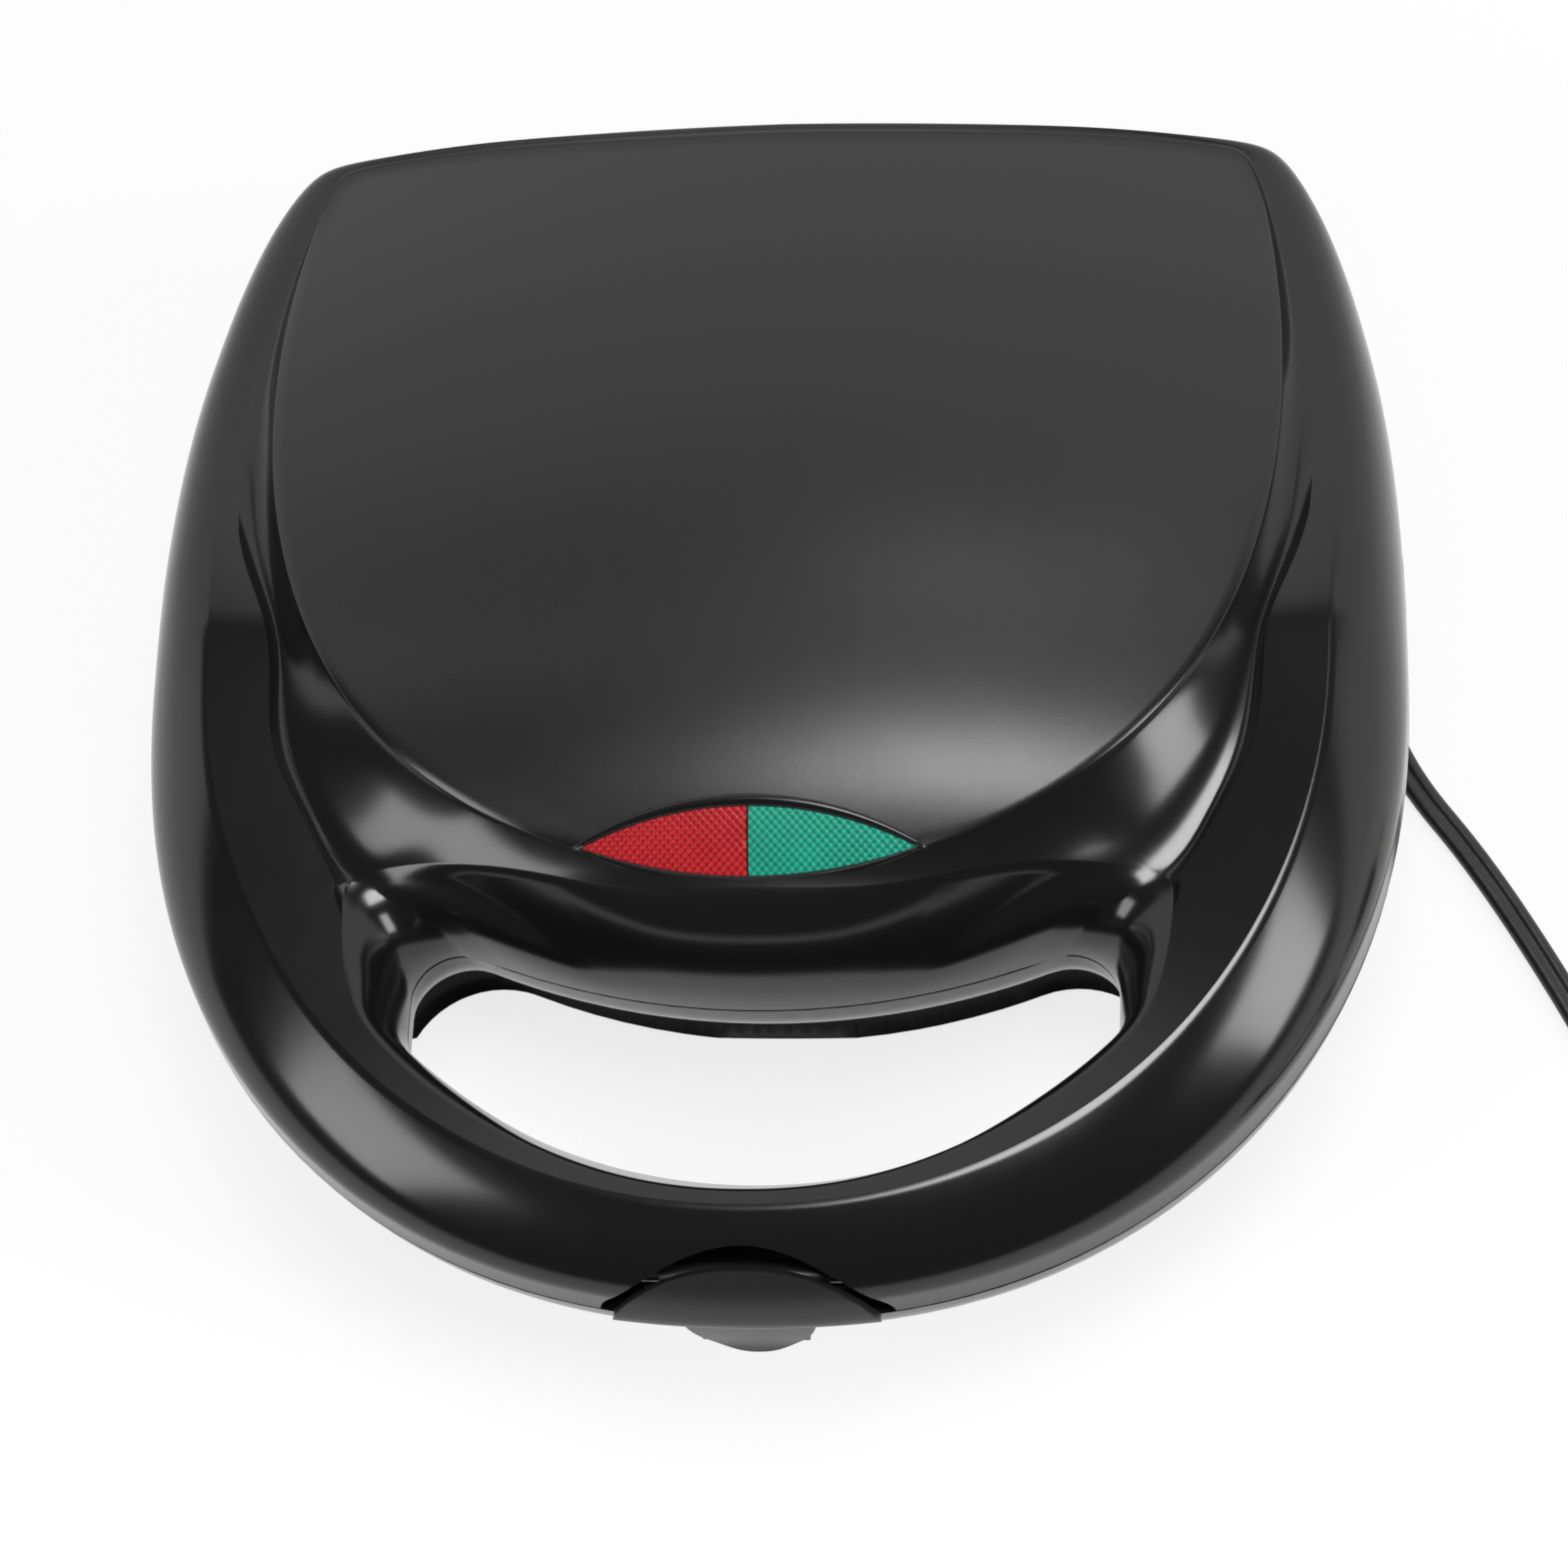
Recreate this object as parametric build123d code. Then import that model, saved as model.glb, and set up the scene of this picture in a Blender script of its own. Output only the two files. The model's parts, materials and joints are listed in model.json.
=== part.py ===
"""Corn dog maker: a hinged countertop cooker with a looped handle, in millimetres.

X runs to the right, Y to the back where the hinge is, and Z up from the surface that the feet stand on.
"""

import os
from math import cos, hypot, pi, radians, sin, sqrt, tan

from build123d import *

# Driving sizes of the casing
body_half_width = 116.0
front_reach = 119.5
widest_y = 2.0
rear_reach = 152.0
rear_wall_y = 112.0
rear_corner_radius = 7.0
front_roundness_share = 2.2
rear_roundness_share = 2.57
parting_height = 48.0
half_gap = 0.4
wall = 2.5
foot_height = 8.0
overrun = 60.0
reach = body_half_width + 2 * wall

# Top panel: its crown along Y, its crown across, and its shield-shaped edge
crown_height = 87.0
crown_y_shares = (-0.603, -0.394, -0.293, 0.0, 0.259, 0.603, 1.017)
crown_z_shares = (0.724, 0.8736, 0.931, 0.9828, 1.0, 0.9678, 0.8414)
crown_side_radius = 401.0
crown_turn = 36.0
panel_half_width = 93.3
panel_widest_y = 60.0
panel_front_reach = 104.0
panel_roundness_share = 2.3
panel_rear_narrowing = 7.3

# Flank of the upper shell: how far it has drawn in on its way up
flank_depth = 20.0
flank_rise_shares = (0.154, 0.308, 0.4615, 0.6154, 0.8718)
flank_inset_shares = (0.025, 0.13, 0.375, 0.575, 1.0)

# Crest ring of the handle: a ring of revolution about a tilted axis, with a valley inside it
crest_radius = 101.0
crest_centre_height = 75.8
crest_tilt = 5.6
crest_turn = 208.0
valley_width = 41.0
valley_depth = 6.0
valley_step_shares = (0.098, 0.22, 0.39, 1.0)
valley_drop_shares = (0.167, 0.667, 1.0, 1.0)
shoulder_y_shares = (0.071, 0.536, 1.054)
shoulder_z_shares = (0.871, 0.837, 0.701)

# Brow: the ridge between the lenses and the finger opening
brow_half_width = 77.0
brow_end_y = -49.0
brow_middle_y = -63.0
brow_root_y = -10.0
brow_root_half_width = 60.0

# Finger opening inside the handle loop
opening_near_radius = 96.0
opening_near_centre_y = 3.0
opening_far_radius = 140.0
opening_far_centre_y = 80.0
opening_end_x = 64.0
opening_corner_radius = 9.0
opening_top_growth = 4.0

# Lower shell: how far its wall and its opening have moved on their way down to the floor
floor_inset = 11.0
floor_hole_growth = 9.0
lower_height_shares = (0.8333, 0.6875, 0.5833)
lower_inset_shares = (0.109, 0.345, 0.6)
lower_hole_shares = (0.111, 0.4, 0.822)
handle_bottom_height = 28.0
wedge_front_y = -64.0
wedge_rear_y = -50.0

# Levels under the parting plane, used downward in the base and upward in the lid
face_depth = 0.6
flange_thickness = 3.0
flange_depth = face_depth + flange_thickness
fit_gap = 0.4
seat_gap = 0.3
thread_gap = 0.02
running_gap = 0.05

# Cooking plates
plate_front_y = -40.0
plate_corner_radius = 8.0
plate_margin = 1.4
cavity_count = 6
cavity_pitch = 27.0
cavity_radius = 11.0
cavity_wall = 2.5
cavity_front_y = 2.0
cavity_rear_y = 94.0
groove_radius = 2.6
groove_wall = 2.2
groove_front_y = -34.0

# Screws: shank and head
screw_radius = 1.4
screw_head_radius = 3.0
screw_head_height = 1.8
small_screw_length = 10.0
plate_screw_radius = 1.7
plate_screw_length = 12.0
plate_screw_places = ((88.0, -28.0), (85.0, 88.0))
plate_post_radius = 4.5

# Handle liners and their screws
liner_thickness = 2.4
liner_margin = 1.2
liner_rear_y = -41.0
liner_screw_places = ((83.0, -64.0), (45.0, -98.0))
liner_post_radius = 4.0

# Heating element and the bar that presses it on the plate
element_radius = 3.2
element_half_width = 54.0
element_front_y = 8.0
element_rear_y = 87.0
element_end_x = 16.0
element_bend_radius = 14.0
element_pin_radius = 1.2
element_pin_length = 8.0
element_depth = cavity_radius + cavity_wall + seat_gap + element_radius
bar_half_length = 58.0
bar_half_width = 5.0
bar_thickness = 1.0
bar_y = 47.0
bar_boss_radius = 3.5
bar_depth = element_depth + element_radius

# Heat shield over the element
shield_half_width = 62.0
shield_front_y = -4.0
shield_rear_y = 92.0
shield_thickness = 0.8
shield_depth = cavity_radius + cavity_wall + face_depth
shield_floor_depth = bar_depth + bar_thickness + thread_gap
shield_ear_x = 27.0
shield_ear_half_width = 5.0
shield_ear_length = 9.5
shield_boss_offset = 5.0
shield_boss_radius = 3.2
shield_screw_y = (shield_front_y - shield_boss_offset, shield_rear_y + shield_boss_offset)

# Latch: pivot, finger plate, tongue and tooth
latch_pivot_y = -111.0
latch_pivot_z = 53.7
latch_half_width = 24.3
latch_low_z = 48.8
latch_peak_z = 57.4
latch_curve_centre_y = 51.0
latch_rise = 10.4
latch_drop = 17.2
latch_plate_outer_shares = ((0.01, 0.077), (-0.077, 0.346), (-0.029, 0.635), (0.154, 1.0))
latch_plate_inner_shares = ((0.375, 1.0), (0.221, 0.635), (0.173, 0.346), (0.173, 0.077))
tongue_outer_shares = ((0.006, 0.093), (-0.012, -0.233), (-0.006, -0.64), (-0.105, -0.953), (-0.11, -1.0))
tongue_inner_shares = ((-0.006, -1.0), (0.099, -0.756), (0.099, 0.093))
latch_turn = 24.0
tongue_half_width = 12.0
latch_pin_radius = 1.25
latch_knuckle_radius = 2.4
latch_knuckle_half_length = 14.8
latch_web_half_width = 10.4
latch_ear_width = 3.0
latch_ear_half_depth = 2.3
seat_half_width = 27.5
seat_peak_z = 60.6
seat_back_y = -113.0
tooth_half_width = 9.6
tooth_depth = 1.0
tooth_height = 2.4
catch_face_y = -115.4
catch_inner_y = -110.5
catch_low_z = 37.0
catch_half_width = 16.0

# Hinge at the back
hinge_y = 116.4
hinge_radius = 4.0
hinge_pin_radius = 1.5
hinge_lug_x = (30.0, 38.0, 48.0, 56.0)
hinge_web_height = 9.0
hinge_root_y = 109.5
sleeve_radius = 2.4
sleeve_half_length = 16.0
sleeve_port_x = (4.0, 14.0)

# Lens window and the lamps behind it
lens_half_width = 29.8
lens_tip_y = -40.7
lens_top_y = -34.1
lens_low_y = -45.8
lens_foot_z = 71.0
lens_wall = 1.6
lens_gap = 0.5
lens_seam = 0.3
lamp_radius = 2.3
lamp_half_length = 7.0
lamp_x = 14.0
lamp_depth = 2.8
holder_half_width = 36.0
holder_half_depth = 5.0
holder_thickness = 6.0
holder_post_x = 33.5
holder_post_radius = 2.3

# Feet and floor vents
foot_radius = 9.0
foot_stem_radius = 3.0
foot_stem_height = 4.0
foot_places = ((66.0, -30.0), (62.0, 88.0))
vent_count = 7
vent_pitch = 8.0
vent_half_width = 1.5
vent_half_length = 14.0
vent_y = 30.0

# Thermostat, thermal fuse, terminal block and leads
thermostat_half_width = 7.0
thermostat_half_length = 9.0
thermostat_height = 8.0
thermostat_y = -21.0
fuse_radius = 2.4
fuse_half_length = 12.0
fuse_x = 46.0
fuse_y = 101.0
terminal_x = 30.0
terminal_y = 72.0
terminal_half_width = 15.0
terminal_half_depth = 6.0
terminal_height = 9.0
lead_radius = 1.1
lead_pitch = 4.0
lead_bend_radius = 2.5
lead_end_y = 107.0
lid_lead_bend_y = 96.0
base_lead_bend_y = 92.0
base_lead_rise = 27.0

# Mains cord, its strain relief, coil and plug
cord_diameter = 5.4
cord_gap = 0.8
relief_x = 42.0
relief_y = 102.25
relief_turn = 40.0
relief_height = 18.0
relief_length = 22.0
cord_exit_length = 14.0
relief_root_radius = 5.2
relief_tip_radius = 3.6
relief_inner_length = 15.0
relief_flange_radius = 6.8
relief_flange_thickness = 2.0
coil_radius = 35.0
coil_x = 198.0
coil_y = -100.0
cord_tail_length = 34.6
plug_half_width = 17.6
plug_length = 26.0
plug_height = 17.8
plug_corner_radius = 6.0
plug_sleeve_length = 12.0
plug_sleeve_radius = 4.6
plug_pin_radius = 2.0
plug_pin_length = 19.0
plug_pin_half_spacing = 9.3


def outline_turn(angle):
    """Point of the casing's outline at the parting plane for an angle about its widest line."""
    c, s = cos(angle), sin(angle)
    reach = front_reach if s < 0 else rear_reach
    power = front_roundness_share if s < 0 else rear_roundness_share
    radius = ((abs(c) / body_half_width) ** power + (abs(s) / reach) ** power) ** (-1 / power)
    return radius * c, widest_y + radius * s


def outline_point(angle, inset):
    """Point of the casing's outline, drawn in by inset along the outline's own normal."""
    small_turn = radians(0.2)
    x0, y0 = outline_turn(angle - small_turn)
    x1, y1 = outline_turn(angle + small_turn)
    x, y = outline_turn(angle)
    length = hypot(x1 - x0, y1 - y0)
    return x - inset * (y1 - y0) / length, y + inset * (x1 - x0) / length


def outline_face(inset, height):
    """Flat face of the casing's outline, cut straight at the back, at the given height."""
    rear_y = rear_wall_y - inset
    low, high = 0.0, pi / 2
    for _ in range(40):
        middle = (low + high) / 2
        if outline_point(middle, inset)[1] < rear_y:
            low = middle
        else:
            high = middle
    spans = 12
    turns = [low + (-pi - 2 * low) * i / spans for i in range(spans + 1)]
    side = Spline([Vector(*outline_point(turn, inset), height) for turn in turns])
    back = Line(side @ 1, side @ 0)
    face = Face(Wire([side.edge(), back.edge()]))
    corners = face.vertices().sort_by(Axis.Y)[-2:]
    return face.fillet_2d(rear_corner_radius, corners)


def opening_face(growth, height):
    """Crescent-shaped face of the finger opening, grown on all sides by growth."""
    near = opening_near_radius + growth
    far = opening_far_radius - growth
    end_x = opening_end_x + growth
    near_y = opening_near_centre_y - sqrt(near**2 - end_x**2)
    far_y = opening_far_centre_y - sqrt(far**2 - end_x**2)
    near_middle = (0, opening_near_centre_y - near, height)
    far_middle = (0, opening_far_centre_y - far, height)
    near_arc = ThreePointArc((-end_x, near_y, height), near_middle, (end_x, near_y, height))
    far_arc = ThreePointArc((end_x, far_y, height), far_middle, (-end_x, far_y, height))
    sides = [Line(near_arc @ 1, far_arc @ 0), Line(far_arc @ 1, near_arc @ 0)]
    face = Face(Wire([near_arc.edge(), sides[0].edge(), far_arc.edge(), sides[1].edge()]))
    return face.fillet_2d(opening_corner_radius + growth, face.vertices())


def panel_face(inset, height):
    """Face of the top panel's shield-shaped outline, drawn in by inset."""
    points = []
    steps = 10
    for i in range(steps + 1):
        turn = pi * i / steps
        c, s = cos(turn), sin(turn)
        power = 2 / panel_roundness_share
        x = (panel_half_width - inset) * abs(c) ** power * (1 if c > 0 else -1)
        y = panel_widest_y - (panel_front_reach - inset) * abs(s) ** power
        points.append((x, y, height))
    front = Spline(points, tangents=[(0, -1, 0), (0, 1, 0)])
    rear_x = panel_half_width - panel_rear_narrowing - inset
    middle_x = panel_half_width - panel_rear_narrowing / 4 - inset
    middle_y = (panel_widest_y + rear_wall_y) / 2
    rear_y = rear_wall_y - inset
    left = ThreePointArc(front @ 1, (-middle_x, middle_y, height), (-rear_x, rear_y, height))
    right = ThreePointArc((rear_x, rear_y, height), (middle_x, middle_y, height), front @ 0)
    back = Line(left @ 1, right @ 0)
    return Face(Wire([front.edge(), left.edge(), back.edge(), right.edge()]))


def brow_face(inset, height):
    """Face of the brow's outline in front of the lenses."""
    half, root = brow_half_width - inset, brow_root_half_width - inset
    front_y = brow_end_y + inset
    middle = (0, brow_middle_y + inset, height)
    front = ThreePointArc((-half, front_y, height), middle, (half, front_y, height))
    rest = Polyline(front @ 1, (root, brow_root_y, height), (-root, brow_root_y, height), front @ 0)
    return Face(Wire([front.edge()] + rest.edges()))


def column(face, top):
    """Straight solid from a flat face up to the height top."""
    return extrude(face, amount=top - face.center().Z, dir=(0, 0, 1))


def crown_cutter(sink):
    """All that lies above the top panel's crown."""
    places = [(body_half_width * y, crown_height * z) for y, z in zip(crown_y_shares, crown_z_shares)]
    line = Spline([(0, y, z - sink) for y, z in places])
    lid_z = crown_height + overrun
    rest = Polyline(line @ 1, (0, places[-1][0], lid_z), (0, places[0][0], lid_z), line @ 0)
    profile = Face(Wire([line.edge()] + rest.edges()))
    axis = Axis((0, 0, crown_height - crown_side_radius), (0, 1, 0))
    return revolve(profile.rotate(axis, -crown_turn / 2), axis, crown_turn)


def crest_cutter(sink):
    """All that lies above the crest ring and the valley inside it, in the front half."""
    points = [(crest_radius + overrun, 0, 0), (crest_radius, 0, 0)]
    for step, drop in zip(valley_step_shares, valley_drop_shares):
        points.append((crest_radius - valley_width * step, 0, -valley_depth * drop))
    points += [(0, 0, -valley_depth), (0, 0, overrun), (crest_radius + overrun, 0, overrun)]
    outline = Polyline(points, close=True)
    profile = Face(Wire(outline.edges()))
    ring = revolve(profile.rotate(Axis.Z, -crest_turn / 2 - 90), Axis.Z, crest_turn)
    return ring.rotate(Axis.X, crest_tilt).moved(Location((0, widest_y, crest_centre_height - sink)))


def shoulder_cutter(sink):
    """All that lies above the rear half of the shoulders."""
    places = [(rear_wall_y * y, crown_height * z) for y, z in zip(shoulder_y_shares, shoulder_z_shares)]
    line = ThreePointArc(*[(0, y, z - sink) for y, z in places])
    lid_z = crown_height + overrun
    rest = Polyline(line @ 1, (0, places[-1][0], lid_z), (0, places[0][0], lid_z), line @ 0)
    profile = Face(Wire([line.edge()] + rest.edges()))
    return extrude(profile, amount=body_half_width + overrun, dir=(1, 0, 0), both=True)


def upper_body(inset, sink, growth, base_z):
    """Closed upper body, drawn in by inset at the sides and by sink at the top."""
    sections = [outline_face(inset, base_z)]
    rise = crown_height - parting_height
    for height, drawn_in in zip(flank_rise_shares, flank_inset_shares):
        sections.append(outline_face(inset + flank_depth * drawn_in, parting_height + rise * height - sink))
    body = loft(sections)
    body -= crest_cutter(sink)
    body -= shoulder_cutter(sink)
    raised = column(panel_face(inset, base_z), crown_height + wall)
    raised += column(brow_face(inset, base_z), crown_height + wall)
    body += raised - crown_cutter(sink)
    low = opening_face(growth, base_z - half_gap)
    high = opening_face(growth + opening_top_growth, crown_height + wall)
    return body - loft([low, high])


def lower_body(inset, growth, floor_z, top_z, lift):
    """Closed lower body with a tapering wall, a tapering finger opening and a raised handle."""
    outer = [outline_face(inset, top_z)]
    hole = [opening_face(growth, top_z + half_gap)]
    for height, drawn_in, grown in zip(lower_height_shares, lower_inset_shares, lower_hole_shares):
        level = parting_height * height + lift
        outer.append(outline_face(inset + floor_inset * drawn_in, level))
        hole.append(opening_face(growth + floor_hole_growth * grown, level))
    outer.append(outline_face(inset + floor_inset, floor_z))
    hole.append(opening_face(growth + floor_hole_growth, floor_z - half_gap))
    body = loft(outer) - loft(hole)
    base = handle_bottom_height + lift
    profile = Polyline(
        (0, -overrun * 3, floor_z - wall),
        (0, -overrun * 3, base),
        (0, wedge_front_y + lift, base),
        (0, wedge_rear_y + lift, floor_z),
        (0, wedge_rear_y + lift, floor_z - wall),
        close=True,
    )
    return body - extrude(Face(Wire(profile.edges())), amount=overrun * 3, dir=(1, 0, 0), both=True)


def side_by_side(places):
    """The given places and their mirror images across the middle plane."""
    return [(side * x, y) for x, y in places for side in (-1, 1)]


def posts(places, radius, low, high):
    """Round posts at the given places, on both sides of the middle plane."""
    group = Part()
    for x, y in side_by_side(places):
        group += Pos(x, y, (low + high) / 2) * Cylinder(radius, high - low)
    return group


def block(x_low, x_high, y_low, y_high, z_low, z_high):
    """Box between six limits."""
    size = (x_high - x_low, y_high - y_low, z_high - z_low)
    middle = ((x_low + x_high) / 2, (y_low + y_high) / 2, (z_low + z_high) / 2)
    return Pos(*middle) * Box(*size)


def twin(x_low, x_high, *limits):
    """The same box on both sides of the middle plane."""
    return block(x_low, x_high, *limits) + block(-x_high, -x_low, *limits)


def rod(axis_y, axis_z, radius, x_low, x_high):
    """Round rod along X."""
    turned = Rot(0, 90, 0) * Cylinder(radius, x_high - x_low)
    return Pos((x_low + x_high) / 2, axis_y, axis_z) * turned


def tube(path, radius):
    """Round wire of the given radius along a path."""
    return sweep(Plane(origin=path @ 0, z_dir=path % 0) * Circle(radius), path=path)


def opposite(shape):
    """The same piece on the other side of the parting plane."""
    return mirror(shape, Plane.XY.offset(parting_height))


def cavities(skin, groove_skin):
    """Corn dog moulds side by side, each with its stick groove toward the handle, grown by a skin."""
    group = Part()
    radius = cavity_radius + skin
    length_y = cavity_rear_y - cavity_front_y - 2 * cavity_radius
    middle_y = (cavity_front_y + cavity_rear_y) / 2
    groove_end_y = groove_front_y - groove_skin
    for i in range(cavity_count):
        x = (i - (cavity_count - 1) / 2) * cavity_pitch
        barrel = Rot(90, 0, 0) * Cylinder(radius, length_y)
        group += Pos(x, middle_y, parting_height) * barrel
        for end_y in (middle_y - length_y / 2, middle_y + length_y / 2):
            group += Pos(x, end_y, parting_height) * Sphere(radius)
        groove = Rot(90, 0, 0) * Cylinder(groove_radius + groove_skin, middle_y - groove_end_y)
        group += Pos(x, (middle_y + groove_end_y) / 2, parting_height) * groove
    return group


def plate_body():
    """Lower cooking plate: flange, half-round moulds with a cast wall, bosses and screw holes."""
    flange_top = parting_height - face_depth
    flange_low = parting_height - flange_depth
    outline = outline_face(wall + plate_margin, flange_low)
    outline -= Pos(0, plate_front_y - reach, flange_low) * Rectangle(2 * reach, 2 * reach)
    corners = outline.vertices().sort_by(Axis.Y)[:2]
    plate = column(fillet(corners, plate_corner_radius).face(), flange_top)
    below = block(-reach, reach, plate_front_y, reach, 0, flange_top)
    plate += cavities(cavity_wall, groove_wall) & below
    ears = [(shield_ear_x, y) for y in shield_screw_y]
    shield_level = parting_height - shield_depth
    plate += posts(ears, shield_boss_radius, shield_level, flange_top - face_depth)
    bar_level = parting_height - bar_depth
    boss_top = flange_top - cavity_wall
    plate += Pos(0, bar_y, (bar_level + boss_top) / 2) * Cylinder(bar_boss_radius, boss_top - bar_level)
    plate -= cavities(0, 0)
    head_level = flange_top - screw_head_height
    plate -= posts(plate_screw_places, plate_screw_radius + fit_gap, flange_low - wall, parting_height)
    plate -= posts(plate_screw_places, screw_head_radius + fit_gap, head_level, parting_height)
    plate -= posts(ears, screw_radius + thread_gap, shield_level, shield_level + small_screw_length)
    bar_hole = Cylinder(screw_radius + thread_gap, small_screw_length)
    return plate - Pos(0, bar_y, bar_level + small_screw_length / 2) * bar_hole


def element_body():
    """Lower heating element: one bent tube with a pin at each end."""
    z = parting_height - element_depth
    half = element_half_width
    path = FilletPolyline(
        (-element_end_x, element_rear_y, z),
        (-half, element_rear_y, z),
        (-half, element_front_y, z),
        (half, element_front_y, z),
        (half, element_rear_y, z),
        (element_end_x, element_rear_y, z),
        radius=element_bend_radius,
    )
    pin_end_x = element_end_x - element_pin_length
    pins = rod(element_rear_y, z, element_pin_radius, pin_end_x, element_end_x)
    pins += rod(element_rear_y, z, element_pin_radius, -element_end_x, -pin_end_x)
    return tube(path, element_radius) + pins


def bar_body():
    """Lower bar that presses the element on its plate."""
    z = parting_height - bar_depth
    y_limits = (bar_y - bar_half_width, bar_y + bar_half_width)
    bar = block(-bar_half_length, bar_half_length, *y_limits, z - bar_thickness, z)
    return bar - Pos(0, bar_y, z) * Cylinder(screw_radius + fit_gap, overrun)


def shield_body():
    """Lower heat shield: a thin tray over the element, with four ears."""
    top = parting_height - shield_depth
    low = parting_height - shield_floor_depth
    half, front, rear, skin = shield_half_width, shield_front_y, shield_rear_y, shield_thickness
    tray = block(-half, half, front, rear, low - skin, top)
    tray -= block(skin - half, half - skin, front + skin, rear - skin, low, top + wall)
    ear_x = (shield_ear_x - shield_ear_half_width, shield_ear_x + shield_ear_half_width)
    tray += twin(*ear_x, front - shield_ear_length, front + skin, top - skin, top)
    tray += twin(*ear_x, rear - skin, rear + shield_ear_length, top - skin, top)
    ears = [(shield_ear_x, y) for y in shield_screw_y]
    tray -= posts(ears, screw_radius + fit_gap, low, top + wall)
    return tray - Pos(0, bar_y, low) * Cylinder(screw_head_radius + fit_gap, wall)


def liner_body():
    """Lower handle liner: a flat cover that closes the handle half at the parting plane."""
    top = parting_height - face_depth
    low = top - liner_thickness
    liner = column(outline_face(wall + liner_margin, low), top)
    liner = liner & block(-reach, reach, -reach - wall, liner_rear_y, 0, parting_height)
    liner -= column(opening_face(wall + liner_margin, low - wall), parting_height)
    liner -= posts(liner_screw_places, screw_radius + fit_gap, 0, parting_height)
    head_level = top - screw_head_height
    return liner - posts(liner_screw_places, screw_head_radius + fit_gap, head_level, parting_height)


def screw(x, y, head_z, length, radius, way):
    """Flat-headed screw: its head starts at head_z, and its shank points up (way 1) or down (way -1)."""
    head = Pos(x, y, head_z + way * screw_head_height / 2) * Cylinder(screw_head_radius, screw_head_height)
    shank_z = head_z + way * (screw_head_height + length / 2)
    return head + Pos(x, y, shank_z) * Cylinder(radius, length)


def screws(places, head_z, length, radius, way):
    """Screws at the given places, as one group of solids."""
    group = Part()
    for x, y in places:
        group += screw(x, y, head_z, length, radius, way)
    return group


def lower_pieces():
    """Pieces that the base and the lid both have, made for the base."""
    face = parting_height - face_depth
    ear_z = parting_height - shield_depth - shield_thickness - screw_head_height
    bar_z = parting_height - bar_depth - bar_thickness - screw_head_height
    ears = side_by_side([(shield_ear_x, y) for y in shield_screw_y])
    corners = side_by_side(plate_screw_places)
    ring = side_by_side(liner_screw_places)
    return {
        "cooking_plate": plate_body(),
        "heating_element": element_body(),
        "element_bar": bar_body(),
        "bar_screw": screw(0, bar_y, bar_z, small_screw_length, screw_radius, 1),
        "heat_shield": shield_body(),
        "shield_screws": screws(ears, ear_z, small_screw_length, screw_radius, 1),
        "plate_screws": screws(corners, face, plate_screw_length, plate_screw_radius, -1),
        "handle_liner": liner_body(),
        "liner_screws": screws(ring, face, small_screw_length, screw_radius, -1),
    }


def arch_face(half_width, low_z, peak_z):
    """Half-round face that stands in the XZ plane."""
    arc = ThreePointArc((-half_width, 0, low_z), (0, 0, peak_z), (half_width, 0, low_z))
    return Face(Wire([arc.edge(), Line(arc @ 1, arc @ 0).edge()]))


def latch_profile(outer_shares, inner_shares, size):
    """Upright profile of a piece of the latch, measured from the casing's front at the parting plane."""
    front_y = widest_y - front_reach
    outer = [(0, front_y + y * size, parting_height + z * size) for y, z in outer_shares]
    inner = [(0, front_y + y * size, parting_height + z * size) for y, z in inner_shares]
    line = Spline(outer)
    rest = Polyline([outer[-1]] + inner + [outer[0]])
    return Face(Wire([line.edge()] + rest.edges()))


def latch_body():
    """Latch: half-round finger plate, tongue with a flared lip, tooth, knuckle and web."""
    profile = latch_profile(latch_plate_outer_shares, latch_plate_inner_shares, latch_rise)
    axis = Axis((0, latch_curve_centre_y, 0), (0, 0, 1))
    latch = revolve(profile.rotate(axis, -latch_turn / 2), axis, latch_turn)
    arch = arch_face(latch_half_width, latch_low_z, latch_peak_z)
    latch = latch & extrude(arch, amount=reach + overrun, dir=(0, -1, 0))
    profile = latch_profile(tongue_outer_shares, tongue_inner_shares, latch_drop)
    tongue = extrude(profile, amount=tongue_half_width, dir=(1, 0, 0), both=True)
    oval = Ellipse(tongue_half_width, latch_drop + latch_low_z - parting_height)
    rounding = Pos(0, 0, latch_low_z) * Rot(90, 0, 0) * oval
    latch += tongue & extrude(rounding, amount=reach + overrun, dir=(0, -1, 0))
    tooth_y = catch_face_y - seat_gap
    tooth_top = catch_low_z - seat_gap - face_depth
    tooth_x = (-tooth_half_width, tooth_half_width)
    latch += block(*tooth_x, tooth_y - tooth_depth, tooth_y, tooth_top - tooth_height, tooth_top)
    half = latch_knuckle_half_length
    latch += rod(latch_pivot_y, latch_pivot_z, latch_knuckle_radius, -half, half)
    web_y = (tooth_y - tooth_depth / 2, latch_pivot_y - latch_pin_radius)
    web_z = (latch_pivot_z - latch_knuckle_radius, latch_pivot_z)
    latch += block(-latch_web_half_width, latch_web_half_width, *web_y, *web_z)
    return latch - rod(latch_pivot_y, latch_pivot_z, latch_pin_radius + running_gap, -reach, reach)


def lens_face(growth, height):
    """Almond-shaped face of the lens window, grown on all sides."""
    half, tip = lens_half_width + growth, lens_tip_y
    top = ThreePointArc((half, tip, height), (0, lens_top_y + growth, height), (-half, tip, height))
    low = ThreePointArc((-half, tip, height), (0, lens_low_y - growth, height), (half, tip, height))
    return Face(Wire([top.edge(), low.edge()]))


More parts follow.
